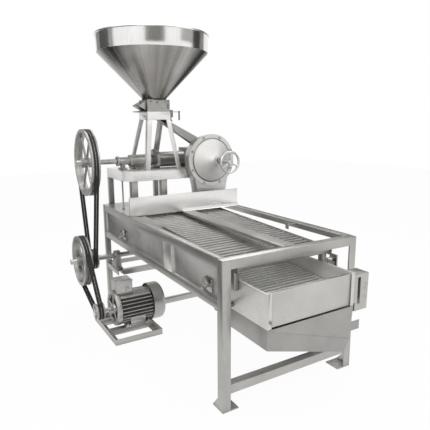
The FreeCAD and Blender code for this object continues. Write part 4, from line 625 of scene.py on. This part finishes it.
def loop_points(c1, r1, c2, r2):
    """Points round two circles with the ways outward there, as a tight belt runs."""
    d = math.hypot(c2[0] - c1[0], c2[1] - c1[1])
    along = math.atan2(c2[1] - c1[1], c2[0] - c1[0])
    lean = math.acos((r1 - r2) / d)
    arc = 40
    points = []
    for c, r, first, turn in ((c1, r1, along + lean, 2 * math.pi - 2 * lean),
                              (c2, r2, along - lean, 2 * lean)):
        for k in range(arc + 1):
            a = first + turn * k / arc
            points.append((c[0] + r * math.cos(a), c[1] + r * math.sin(a), math.cos(a), math.sin(a)))
    return points


def wedge_belts(name, x_mid, c1, r1, c2, r2, node):
    """Two wedge belts with a flat back, narrower towards the inside."""
    low = groove_depth - belt_clear
    build = Build()
    for offset in (-groove_half, groove_half):
        x = x_mid + offset
        rings = []
        for y, z, ny, nz in loop_points(c1, r1 - low, c2, r2 - low):
            half_in, half_out, high = 5.6, 9.1, groove_depth - 1.2
            right = [(half_in, 0.0), (half_out, high - 1), (half_out - 0.8, high)]
            section = [(-half_in, 0.0)] + right + [(-u, v) for u, v in reversed(right[1:])]
            rings.append([(x + u, y + ny * v, z + nz * v) for u, v in section])
        build.face_ring(rings)
    piece(name, build, "belt", "frame", (node,))


def pulley(build, x_mid, y, z, r, bore, spokes):
    """A two-groove pulley: rounded rim, tapered oval arms and a hub with its collar."""
    half, hub_r, ahead = 30.0, 36.0, Vector((1, 0, 0))
    rim_in = r - groove_depth - 14
    outer = []
    for c in (-groove_half, groove_half):
        outer += [(r - 0.8, c - 8.5), (r - groove_depth, c - 6.0), (r - groove_depth, c + 6.0),
                  (r - 0.8, c + 8.5)]
    profile = [(r - 1.2, -half)] + outer + [(r - 1.2, half)]
    inner = rim_in if spokes else bore
    if spokes:
        profile += [(rim_in, half), (rim_in - 3, 8), (rim_in - 5, 0), (rim_in - 3, -8), (rim_in, -half)]
    else:
        profile += [(r * 0.8, half), (r * 0.76, half - 8), (bore + 16, half - 8), (bore + 14, half),
                    (inner, half), (inner, -half), (bore + 14, -half), (bore + 16, -half + 8),
                    (r * 0.76, -half + 8), (r * 0.8, -half)]
    build.turn([(a, x_mid + b) for a, b in profile], (0, y, z), "x", 128)
    if not spokes:
        return build
    hub = [(bore, x_mid - half - 12), (hub_r - 2, x_mid - half - 12), (hub_r, x_mid - half - 10),
           (hub_r, x_mid + half - 2), (hub_r - 2, x_mid + half), (bore, x_mid + half)]
    build.turn(hub, (0, y, z), "x", 64)
    for k in range(spokes):
        a = 2 * math.pi * k / spokes + math.radians(30)
        out = Vector((0, math.cos(a + math.pi / 2), math.sin(a + math.pi / 2)))
        side = Vector((0, -out.z, out.y))
        rings = []
        for t in range(9):
            s = t / 8
            centre = Vector((x_mid, y, z)) + out * (hub_r - 5 + (rim_in + 2 - hub_r + 5) * s)
            flare = 1.0 + 0.55 * (2 * s - 1) ** 4
            wide, deep = (12.5 - 3.5 * s) * flare, 8.5 - 1.2 * s
            ring = []
            for j in range(20):
                b = 2 * math.pi * j / 20
                ring.append(tuple(centre + side * wide * math.cos(b) + ahead * deep * math.sin(b)))
            rings.append(ring)
        build.caps(build.face_ring(rings, False))
    return build


def make_pulleys():
    """The three pulley bodies and the belts between them."""
    big = pulley(Build(), upper_belt_x, drive_y, drive_z, big_r, shaft_r, 6)
    piece("big_pulley_finished", big, "wheel", "drive", ("big_pulley",))
    jack = pulley(Build(), upper_belt_x, drive_y, jack_z, jack_small_r, shaft_r, 0)
    pulley(jack, lower_belt_x, drive_y, jack_z, jack_big_r, shaft_r, 5)
    piece("jack_pulleys_finished", jack, "wheel", "countershaft", ("jack_pulleys",))
    small = pulley(Build(), lower_belt_x, motor_y, motor_z, motor_pulley_r, motor_shaft_r, 0)
    piece("motor_pulley_finished", small, "wheel", "motor_rotor", ("motor_pulley",))
    wedge_belts("upper_belts_finished", upper_belt_x, (drive_y, drive_z), big_r, (drive_y, jack_z),
                jack_small_r, "upper_belts")
    wedge_belts("lower_belts_finished", lower_belt_x, (drive_y, jack_z), jack_big_r, (motor_y, motor_z),
                motor_pulley_r, "lower_belts")


def make_hopper():
    """Polished upper band with its rolled rim, and the brushed cone with its seam."""
    low_z, band_z, top_z = 1648.0, 1987.0, 2106.0
    foot_r, edge_r = 84.0, 412.2
    centre = (hopper_x, hopper_y, 0)
    band = Build()
    outer = [(412.4, band_z - 1.5), (413.4, band_z + 2), (416.5, band_z + 60), (419.6, top_z)]
    inner = [(417.0, top_z), (413.8, band_z + 60), (410.4, band_z + 2), (409.4, band_z - 1.5)]
    band.turn(outer + inner, centre, "z", 192)
    band.ring_bar((hopper_x, hopper_y, top_z), "z", 420, 5.9, 192, 16)
    piece("hopper_band", band, "band", "frame")
    shell = Build()
    steps = 12
    outer = []
    for k in range(steps + 1):
        outer.append((foot_r + (edge_r - foot_r) * k / steps, low_z + (band_z - 2 - low_z) * k / steps))
    inner = [(r - 4.2, z) for r, z in reversed(outer)]
    shell.turn(outer + inner, centre, "z", 192)
    seam = []
    for k in range(30):
        t = k / 29
        r = 84.6 + (413.0 - 84.6) * t
        seam.append((hopper_x + r * math.cos(1.9), hopper_y + r * math.sin(1.9),
                     low_z + 2 + (band_z - low_z - 4) * t))
    shell.path(seam, 1.6, 8)
    piece("hopper_finished", shell, "cone", "frame", ("hopper",))
    gasket = Build()
    gasket.turn([(76, low_z + 0.2), (92, low_z + 0.2), (94, low_z + 2.5), (93, low_z + 6.5),
                 (80, low_z + 6.5)], centre, "z", 96)
    piece("hopper_gasket", gasket, "dark", "frame")


def make_cover():
    """Ring flange, shallow dish and boss of the mill's cover, with painted shade in the step between flange
    and dish.
    """
    front = mill_front - 8.0
    dish = Build()

    def at(r, d):
        return (r, front - d)

    profile = [at(203, 0), at(203, 6.5), at(201.5, 8), at(173, 8), at(170, 10), at(164, 13.6), at(156, 18.5),
               at(110, 46), at(66, 74), at(53, 86), at(44, 94), at(38, 99), at(38, 124), at(36, 126),
               at(12.05, 126), at(12.05, 87), at(48, 85), at(64, 70), at(154, 13), at(160, 0)]
    dish.turn(profile, (mill_x, 0, drive_z), "y", 160)
    cover = piece("mill_cover_finished", dish, "spun", "frame", ("mill_cover",))

    # Painted shade: the faces of the step between the ring flange and the dish take the dark cast finish.
    def shaded_step(x, y, z, normal):
        return y < front - 8.4 and 164 < math.hypot(x - mill_x, z - drive_z) < 173

    second_look(cover, "cast_and_step_shade", shaded_step)


def make_handwheel():
    """Screw, hub, round rim and curved arms of the adjusting handwheel."""
    wheel = Build()
    y, screw_short = 1060.0, 0.8
    wheel.ring_bar((mill_x, y, drive_z), "y", 76.5, 8.4, 96, 20)
    end = nodes["adjusting_wheel"].data
    back = max(v.co.y for v in end.vertices) * 1000 - shift_y - screw_short
    wheel.turn([(0.4, y - 14), (11, y - 14), (12, y - 13), (12, back), (0.4, back)], (mill_x, y, drive_z),
               "y", 48)
    wheel.turn([(11.9, y - 16), (17, y - 16), (20, y - 12), (20, y + 10), (17, y + 16), (11.9, y + 16)],
               (mill_x, y, drive_z), "y", 48)
    for k in range(3):
        a = math.radians(120 * k + 90)
        points = []
        for t in range(12):
            s = t / 11
            r = 16 + 60 * s
            points.append((mill_x + r * math.cos(a), y - 7.5 * math.sin(math.pi * s),
                           drive_z + r * math.sin(a)))
        wheel.path(points, [7.6 - 2.0 * math.sin(math.pi * t / 11) for t in range(12)], 16)
    piece("adjusting_wheel_finished", wheel, "casing", "handwheel", ("adjusting_wheel",))


deck_thick = 3.0


def deck_unit(x0, x1, pitch, slot, odd):
    """One row of a deck: a pressed bar with a deep front lip, and the lands behind it."""
    unit = Build()
    thick, lip, land, across = deck_thick, 6.0, 10.0, 2
    bar = pitch - slot
    outline = [(0.0, -lip), (2.2, -lip), (3.4, -1.0), (bar - 2.5, -0.6), (bar, 0.4), (bar, thick * 0.5),
               (bar - 3, thick), (bar * 0.5, thick + 1.6), (3.0, thick + 1.2), (0.8, thick),
               (0.0, thick - 1.5)]
    rings = [[(x, y, z) for y, z in outline] for x in (x0, x1)]
    unit.caps(unit.face_ring(rings, False))
    length = (x1 - x0) / across
    for k in range(across + 1):
        x = x0 + k * length + (0.5 * length if odd else 0.0)
        a, b = max(x - land / 2, x0), min(x + land / 2, x1)
        if b - a > 2:
            unit.block(a, bar, -1.2, b, pitch, 0.2)
    return unit


def make_deck(name, node, look, x0, x1, y0, y1, z0, slope, pitch, slot):
    """A slotted deck made of two interleaved rows of pressed bars."""
    rise = math.tan(math.radians(slope))
    count = int((y1 - y0) / pitch)
    for odd in (False, True):
        unit = deck_unit(x0, x1, pitch, slot, odd)
        for v in unit.mesh.verts:
            v.co.z += (v.co.y - place(0, 0, 0).y) * rise
        obj = raw_piece(name + ("_odd" if odd else "_even"), unit, look, "sieve_box")
        first = y0 + (pitch if odd else 0.0)
        obj.data.transform(Matrix.Translation(place(0, first, z0 + (first - y0) * rise)))
        step = (0, 2 * pitch / 1000, 2 * pitch * rise / 1000)
        repeat(obj, "row", look, Count=(count + (0 if odd else 1)) // 2, Step=step)
    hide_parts(node)
    border = Build()
    end_y, edge_w, least = y0 + count * pitch, 14, 3

    def z_at(y):
        return z0 + (y - y0) * rise

    for a, b in ((y0 - edge_w, y0), (end_y, y1)):
        if b - a > least:
            edge = [(x0, a, z_at(a)), (x1, a, z_at(a)), (x1, b, z_at(b)), (x0, b, z_at(b))]
            border.prism(edge, (0, 0, deck_thick))
    piece(name + "_border", border, look, "sieve_box", bevel=0.4)


def make_decks():
    """The fine lower deck and the coarser upper one."""
    # The lower deck takes the painted lighter copy of the deck steel.
    make_deck("lower_deck_fine", "lower_deck", "lower", 168.0, 752.0, -118.0, 1436.0, 556.8, 3.3, 31.0, 13.0)
    make_deck("upper_deck_fine", "upper_deck", "deck", 133.0, 787.0, 76.0, 1436.0, 748.5, 1.95, 44.0, 18.0)


def make_motor_body():
    """Barrel of the motor, and the bell at its drive end with five arms in its recess; painted shade on the
    barrel round and under its fins, and as a thin dark ring on the recess floor.
    """
    x0, x1, b, bore = motor_x0, motor_x1, bell_r, motor_shaft_r + 0.05
    barrel = Build()
    barrel.turn([(bore, x0), (motor_r - 1, x0), (motor_r, x0 + 1), (motor_r, x1 - 1), (motor_r - 1, x1),
                 (bore, x1)], motor_centre, "x", 128)
    bell = [(bore, x0 - 36), (34, x0 - 36), (37, x0 - 33), (39, x0 - 24), (42, x0 - 20), (b - 32, x0 - 17),
            (b - 27, x0 - 20), (b - 23, x0 - 31), (b - 18, x0 - 34), (b - 8, x0 - 33), (b - 2, x0 - 28),
            (b, x0 - 20), (b, x0), (b - 1, x0 + 1), (bore, x0 + 1)]
    barrel.turn(bell, motor_centre, "x", 128)
    for k in range(5):
        a = math.radians(72 * k + 20)
        out, side = Vector((0, math.cos(a), math.sin(a))), Vector((0, -math.sin(a), math.cos(a)))
        base = Vector((x0 - 22, motor_y, motor_z))
        corners = [base + out * 36 + side * 9, base + out * (b - 26) + side * 7,
                   base + out * (b - 26) - side * 7, base + out * 36 - side * 9]
        barrel.prism([tuple(c) for c in corners], (-6, 0, 0))
    obj = piece("motor_body_finished", barrel, "motor", "frame", bevel=1.0)
    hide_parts("motor_body")
    # Painted shade: the barrel round and under the fins is near black.
    second_look(obj, "dark", lambda x, y, z, normal: x0 + 2 < x < x1 - 2 and z < motor_z + 88)
    # Painted shade: a thin dark ring lying on the bell's recess floor.
    recess = Build()
    recess.turn([(43, x0 - 20.6), (b - 31, x0 - 18.0), (b - 31, x0 - 17.4), (43, x0 - 20.0)], motor_centre,
                "x", 96)
    piece("motor_bell_recess_shade", recess, "dark", "frame")


def make_motor_ribs():
    """Long cooling ribs in two fans, on the near and the far side of the barrel."""
    rib = Build()
    outline = [(motor_r - 2, -4.2), (fin_r - 2, -3.0), (fin_r, -1.2), (fin_r, 1.2), (fin_r - 2, 3.0),
               (motor_r - 2, 4.2)]
    rings = [[(y, z, x) for y, z in outline] for x in (motor_x0 + 5, motor_x1 - 5)]
    rib.caps(rib.face_ring(rings, False))
    for name, first, last in (("right", -50, 50), ("left", 130, 230)):
        copy = Build()
        copy.mesh = rib.mesh.copy()
        count = int((last - first) / fin_step) + 1
        # Painted light: the fins take the lighter rib copy.
        ribs = raw_piece("motor_fins_" + name, copy, "rib", "frame", ())
        repeat(ribs, "circle", "rib", Count=count, Centre=place(*motor_centre),
               Turn=(right_angle, 0, right_angle), First=math.radians(first), Step=math.radians(fin_step))
    rib.mesh.free()


def make_motor_feet():
    """Foot pads with their bolts, the webs above them and a block on each side."""
    x0, x1 = motor_x0, motor_x1
    feet = Build()
    for s in (-1, 1):
        y = motor_y + s * 95
        for x in (x0 + 22, x1 - 62):
            feet.block(x, y - 24, base_h, x + 40, y + 24, base_h + 12)
        feet.block(x0 + 60, y - 20, base_h, x1 - 60, y + 20, base_h + 8)
        web = [(x0 + 64, y + s * 13, base_h + 7), (x0 + 64, y - s * 10, base_h + 7),
               (x0 + 64, motor_y + s * 40, motor_z - motor_r * 0.9),
               (x0 + 64, motor_y + s * 84, motor_z - motor_r * 0.6)]
        feet.prism(web, (x1 - x0 - 128, 0, 0))
        near, far = sorted((motor_y + s * 66, motor_y + s * 106))
        feet.block(x0 + 64, near, base_h + 7, x1 - 64, far, base_h + 64)
        for x in (x0 + 42, x1 - 42):
            feet.turn(disc(0.4, 9, base_h + 12, base_h + 20), (x, y + s * 12, 0), "z", 6)
    piece("motor_feet_finished", feet, "rib", "frame", bevel=1.6)


def make_cowl():
    """The fan cowl: dished end with a round grille of concentric bars."""
    x0, x1, r = motor_x1, motor_x1 + 95.0, cowl_r
    cowl = Build()
    outer = [(r, x0), (r, x1 - 28), (r - 1.5, x1 - 20), (r - 5, x1 - 12), (r - 12, x1 - 5),
             (r - 22, x1 - 0.6), (r - 26, x1)]
    inner = [(r - 26, x1 - 2.5), (r - 22, x1 - 3), (r - 13.5, x1 - 7.5), (r - 7.5, x1 - 13.5),
             (r - 4, x1 - 20.5), (r - 2.5, x1 - 28), (r - 2.5, x0)]
    cowl.turn(outer + inner, motor_centre, "x", 128)
    for k in range(5):
        a = 24 + k * 17.5
        cowl.turn(disc(a, a + 5, x1 - 3, x1 - 0.4), motor_centre, "x", 96)
    for k in range(4):
        t = math.radians(45 + 90 * k)
        c, s = math.cos(t), math.sin(t)
        bar = [(14, 4), (113, 4), (113, -4), (14, -4)]
        bar = [(x1 - 3.5, motor_y + c * u - s * v, motor_z + s * u + c * v) for u, v in bar]
        cowl.prism(bar, (2.2, 0, 0))
    cowl.turn(disc(0.4, 16, x1 - 3, x1 - 0.3), motor_centre, "x", 64)
    piece("fan_cowl_finished", cowl, "cowl", "frame", ("fan_cowl",))


def weld(build, a, b, r):
    """A rippled weld bead from a to b."""
    a, b = Vector(a), Vector(b)
    count = max(6, int((b - a).length / 3.5))
    ripple, taper = 0.5, 1.4
    points, radii = [], []
    for k in range(count + 1):
        points.append(tuple(a + (b - a) * k / count))
        radii.append(r - taper if k in (0, count) else r + ripple * math.sin(k * 2.1))
    build.path(points, radii, 10)


def make_welds():
    """Beads at the table's feet and corners, and at the foot of the platform's posts."""
    beads = Build()
    for x, s in ((5.6, 1), (table_w - 5.6, -1)):
        for y, t in ((5.6, 1), (table_l - 5.6, -1)):
            weld(beads, (x, y, 7), (x, y + t * 42, 7), 2.4)
            weld(beads, (x, y, 7), (x + s * 42, y, 7), 2.4)
    for x in (50.0, 870.0):
        weld(beads, (x, 6.2, 774), (x, 6.2, 812), 2.2)
        weld(beads, (x, 6.2, 104), (x, 6.2, 142), 2.2)
    for x in (416.0, 504.0):
        weld(beads, (x, 50.5, 803), (x, 50.5, 818), 1.8)
    for x in (100.0, 150.0, 342.0, 392.0, 850.0, 900.0):
        weld(beads, (x, 1446, 824.2), (x, 1488, 824.2), 2.0)
    piece("frame_welds", beads, "angle_z", "frame")


def make_outlet():
    """The wedge-shaped catch plate on the outlet's left, and the outlet's screws."""
    x, y0, y1 = hopper_x - 92.3, hopper_y - 62, hopper_y + 62
    corners = [(x, y0, 1640), (x - 62, y0, 1606), (x - 62, y0, 1600), (x, y0, 1567), (x, y1, 1640),
               (x - 62, y1, 1606), (x - 62, y1, 1600), (x, y1, 1567)]
    wedge = tray(corners, [(0, 1, 2, 3), (1, 5, 6, 2), (2, 6, 7, 3), (7, 6, 5, 4)], 2.5)
    piece("outlet_wedge", wedge, "outlet", "frame", bevel=0.5)
    screws = Build()
    y = hopper_y - 80.2
    for dx, z in ((-62, 1636), (-12, 1628), (78, 1590), (78, 1608)):
        screws.turn([(0.4, y - 6), (5, y - 6), (6, y - 5), (6, y), (0.4, y)], (hopper_x + dx, 0, z), "y", 24)
    piece("outlet_screws", screws, "cast_and_step_shade", "frame", bevel=0.4)


def make_pan():
    """The collecting pan: a front folded along a slanting crease, a leaning right end, and the spout."""
    x0, x1, y0, y1, top = 165.0, 755.0, -150.0, 200.0, 480.0
    left_z, right_z, right_x, crease_z = 371.0, 211.0, 714.0, 290.0
    corners = [(x0, y0, top), (x1, y0, top), (736.0, y0, crease_z), (x0, y0, 475.0), (x0, y0 + 4, left_z),
               (right_x, y0 + 12, right_z), (x0, y1, top), (x1, y1, top), (right_x, y1, right_z),
               (x0, y1, left_z)]
    walls = [(0, 1, 2, 3), (3, 2, 5, 4), (4, 5, 8, 9), (0, 3, 4, 9, 6), (1, 7, 8, 5, 2), (6, 9, 8, 7)]
    pan = tray(corners, walls, 3.0)
    outline = [(725.0, -116.0, 365.0), (725.0, -116.0, 310.0), (725.0, -36.0, 310.0), (725.0, -36.0, 365.0),
               (725.0, -39.0, 365.0), (725.0, -39.0, 313.0), (725.0, -113.0, 313.0), (725.0, -113.0, 365.0)]
    pan.prism(outline, (125.0, 0, 0))
    pan.path([(x0 + 6, y0 - 0.4, 473.0), (733.0, y0 - 0.4, crease_z + 1)], 1.2, 10)
    # Painted shade: the pan takes the darker copy of the sheet steel.
    piece("pan_finished", pan, "pan", "sieve_box", ("pan",), bevel=0.8)


def make_ring_bolts():
    """Hexagon heads with washers on the mill's ring; they look to the front."""
    radius, head, count = 187.5, 8.0, 8
    unit = Build()
    sides = [math.radians(60 * k) for k in range(6)]
    outline = [(radius + head * math.cos(a), head * math.sin(a), 0) for a in sides]
    unit.prism(outline, (0, 0, head * 0.85))
    washer = [(head * 1.25, -head * 0.2), (head * 1.25, 0), (0.5, 0), (0.5, -head * 0.2)]
    unit.turn(washer, (radius, 0, 0), "z", 24)
    obj = raw_piece("mill_ring_bolts", unit, "turned", "frame", ("mill_bolts",))
    finish_mesh(obj, 0.5)
    repeat(obj, "circle", "turned", Count=count, Centre=place(mill_x, mill_front - 17.6, drive_z),
           Turn=(right_angle, 0, 0), First=math.radians(22.5), Step=2 * math.pi / count)


def make_flange_bolts():
    """Bolt heads on both faces of the shaft housing's flange."""
    heads = Build()
    for k in (0, 1, 2, 3, 5):
        a = math.radians(60 * k + 30)
        y, z = drive_y + 72 * math.cos(a), drive_z + 72 * math.sin(a)
        for x in (363.0, 398.0):
            heads.turn(disc(0.4, 7, x, x + 7), (0, y, z), "x", 6)
    piece("flange_bolts", heads, "turned", "frame", bevel=0.6)


def refine_all():
    """The nodes that keep their shape and only get rounded edges and a finish."""
    # The pale, stand, inside and chute finishes are painted lighter and darker copies of the steel.
    plain = {
        "legs": ("angle_z", 1.2), "top_rails": ("angle_y", 1.2), "cross_rails": ("angle_x", 1.0),
        "side_rails": ("angle_y", 1.0), "side_panels": ("panel", 0.8), "jack_rails": ("angle_x", 1.0),
        "deflector": ("pale", 0.8), "rear_cover": ("sheet_x", 0.6), "platform": ("pale", 1.2),
        "platform_posts": ("angle_z", 1.0), "hanger_brackets": ("turned", 0.6),
        "motor_base": ("angle_y", 1.0), "terminal_box": ("motor", 1.6), "shaft_housing": ("housing", 1.0),
        "bearings": ("housing", 0.8), "gear_case": ("housing", 1.6), "mill_casing": ("casing", 1.0),
        "feed_throat": ("turned", 0.8), "feed_chute": ("chute", 0.5), "outlet_box": ("outlet", 1.0),
        "stand_head": ("pale", 1.2), "stand_legs": ("stand", 0.9), "box_walls": ("inside", 0.7),
        "tray_floor": ("sheet_y", 0.5), "side_chute": ("sheet_z", 0.8), "upper_frame": ("angle_y", 0.6),
        "lower_pins": ("turned", 0.6), "front_plate": ("sheet_x", 0.8), "front_latch": ("turned", 0.8),
        "hanger_front_left": ("angle_z", 0.8), "hanger_front_right": ("angle_z", 0.8),
        "hanger_back_left": ("angle_z", 0.8), "hanger_back_right": ("angle_z", 0.8),
        "connecting_rod": ("housing", 0.8), "thrust_cup": ("turned", 0.6), "lock_nut": ("turned", 0.8),
        "slide_gate": ("cast_and_step_shade", 0.5), "lock_screw": ("cast_and_step_shade", 0.5), "clamp_knob_front": ("turned", 0.8),
        "clamp_knob_back": ("turned", 0.8), "drive_shaft": ("turned", 0.6), "jack_shaft": ("turned", 0.6),
        "motor_shaft": ("turned", 0.5), "mill_spindle": ("turned", 0.6), "running_stone": ("stone", 0.8),
        "fixed_stone": ("stone", 0.8),
    }
    made = {node: refined(node, look, bevel) for node, (look, bevel) in plain.items()}
    second_look(made["stand_head"], "cast_and_step_shade", lambda x, y, z, normal: x > hopper_x + 95.5)
    # Painted light: the panel faces that don't look sideways take the lighter rib finish.
    second_look(made["side_panels"], "rib", lambda x, y, z, normal: abs(normal.x) < 0.7)
    # Painted light: a band of the side rails, 566 to 682 along the table and 560 to 772 high, takes the
    # lighter stand finish.
    second_look(made["side_rails"], "stand", lambda x, y, z, normal: 566 < y < 682 and 560 < z < 772)


# Stage, light and camera

def seen_by_eye(tree):
    """1 for rays of the camera, of mirrors and of glass, else 0."""
    path = new_node(tree, "ShaderNodeLightPath").outputs
    seen = maths(tree, "ADD", path["Is Camera Ray"], path["Is Glossy Ray"])
    return maths(tree, "ADD", seen, path["Is Transmission Ray"], True)


def stage_material(name, colour, camera_share):
    """A plain pale surface that the camera and mirrors see as near white, and that keeps shadows."""
    material = bpy.data.materials.new(name)
    material.use_nodes = True
    tree = material.node_tree
    shader = tree.nodes["Principled BSDF"]
    shader.inputs["Base Color"].default_value = (*colour, 1)
    shader.inputs["Roughness"].default_value = 0.9
    glow = new_node(tree, "ShaderNodeEmission", {"Color": (1, 1, 1, 1), "Strength": 1.0}).outputs[0]
    share = maths(tree, "MULTIPLY", seen_by_eye(tree), camera_share)
    mix = new_node(tree, "ShaderNodeMixShader", {0: share, 1: shader.outputs[0], 2: glow})
    tree.links.new(mix.outputs[0], tree.nodes["Material Output"].inputs["Surface"])
    return material


def aim(obj, at, look_at, axis):
    """Stands an object at a point, with an axis towards another."""
    obj.location = at
    obj.rotation_euler = (Vector(look_at) - Vector(at)).to_track_quat(axis, "Y").to_euler()


def flat_sheet(name, w, h, material):
    """A flat rectangle that belongs to the stage."""
    data = bpy.data.meshes.new(name)
    data.from_pydata([(-w, -h, 0), (w, -h, 0), (w, h, 0), (-w, h, 0)], [], [(0, 1, 2, 3)])
    data.materials.append(material)
    return linked(name, data)


def card(name, at, look_at, width, height, colour):
    """A dull card that only the metal's reflections show."""
    material = bpy.data.materials.new(name)
    material.use_nodes = True
    inputs = material.node_tree.nodes["Principled BSDF"].inputs
    inputs["Base Color"].default_value = (*colour, 1)
    inputs["Roughness"].default_value = 1.0
    inputs["Specular IOR Level"].default_value = 0.0
    obj = flat_sheet(name, width / 2, height / 2, material)
    aim(obj, at, look_at, "Z")
    obj.visible_camera = False
    obj.visible_diffuse = False
    obj.visible_shadow = False


# Cards round the hopper: azimuth from the front towards +X and width, both in degrees, then
# distance, low edge and high edge in metres, and shade.
flags = [
    (-18.5, 36, 5.4, 1.5, 4.2, 0.22), (-131, 36, 4.6, 0.0, 4.0, 0.12), (72, 25, 5.0, 0.9, 4.7, 0.05),
    (-107, 10, 4.6, 0.6, 4.0, 0.4), (-158, 16, 4.6, 1.6, 4.0, 0.3), (92, 14, 5.0, 1.4, 4.0, 0.3),
    (45, 26, 5.2, 2.0, 3.8, 0.5), (106, 40, 4.2, 3.5, 6.0, 0.05), (108, 50, 2.4, 0.02, 1.5, 0.05),
    (-170, 50, 6.0, 4.3, 7.0, 0.1), (165, 60, 6.0, 4.3, 7.0, 0.1),
]


def make_stage():
    """The floor, and the cards that the hopper and the sheets mirror."""
    half = 12.0
    floor = flat_sheet("floor", half, half, stage_material("pale_floor", (0.82, 0.82, 0.82), 0.96))
    hub = place(hopper_x, hopper_y, 0)
    for k, (azimuth, wide, distance, low, high, shade) in enumerate(flags):
        a = math.radians(azimuth)
        z = (low + high) / 2
        at = (hub.x + distance * math.sin(a), hub.y - distance * math.cos(a), z)
        width = 2 * distance * math.tan(math.radians(wide / 2))
        card("flag_%d" % k, at, (hub.x, hub.y, z), width, high - low, (shade, shade, shade * 0.97))
    card("floor_flag", (-2.9, 2.0, 0.004), (-2.9, 2.0, 3.0), 3.2, 7.0, (0.03, 0.03, 0.03))


def lamp(name, at, look_at, size, power, colour=(1, 1, 1)):
    """An area lamp aimed at a point."""
    data = bpy.data.lights.new(name, "AREA")
    data.shape = "RECTANGLE"
    data.size, data.size_y = size
    data.energy = power
    data.color = colour
    aim(linked(name, data), at, look_at, "-Z")


def make_light():
    """A white world that lights the object at a share of what is seen, and three area lamps."""
    sky = 0.55
    world = bpy.data.worlds.new("studio")
    bpy.context.scene.world = world
    world.use_nodes = True
    tree = world.node_tree
    back = tree.nodes["Background"]
    back.inputs["Color"].default_value = (1, 1, 1, 1)
    strength = maths(tree, "ADD", maths(tree, "MULTIPLY", seen_by_eye(tree), 1 - sky), sky)
    tree.links.new(strength, back.inputs["Strength"])
    lamp("key", (-3.2, -3.4, 4.2), (0, 0, 0.9), (2.2, 1.6), 120, (1.0, 0.985, 0.96))
    lamp("fill", (3.4, -2.8, 4.6), (0, 0, 0.9), (2.6, 2.2), 55, (0.97, 0.985, 1.0))
    lamp("top", (0.3, 1.2, 4.6), (0, 0, 0.8), (2.6, 2.6), 60)


def make_camera():
    """The photo's view, as it was solved for the part."""
    data = bpy.data.cameras.new("photo_view")
    data.lens = lens
    data.sensor_width = sensor
    data.clip_start = 0.05
    data.dof.use_dof = False
    camera = linked("photo_view", data)
    right, up, back = Vector(camera_right), Vector(camera_up), -Vector(camera_ahead)
    turn = Matrix((right, up, back)).transposed().to_4x4()
    camera.matrix_world = Matrix.Translation(place(*camera_at)) @ turn
    bpy.context.scene.camera = camera
    bpy.context.scene.view_settings.view_transform = "Standard"


make_hopper()
make_cover()
make_handwheel()
make_pulleys()
make_decks()
make_motor_body()
make_motor_ribs()
make_motor_feet()
make_cowl()
make_outlet()
make_pan()
make_ring_bolts()
make_flange_bolts()
make_welds()
refine_all()
make_stage()
make_light()
make_camera()
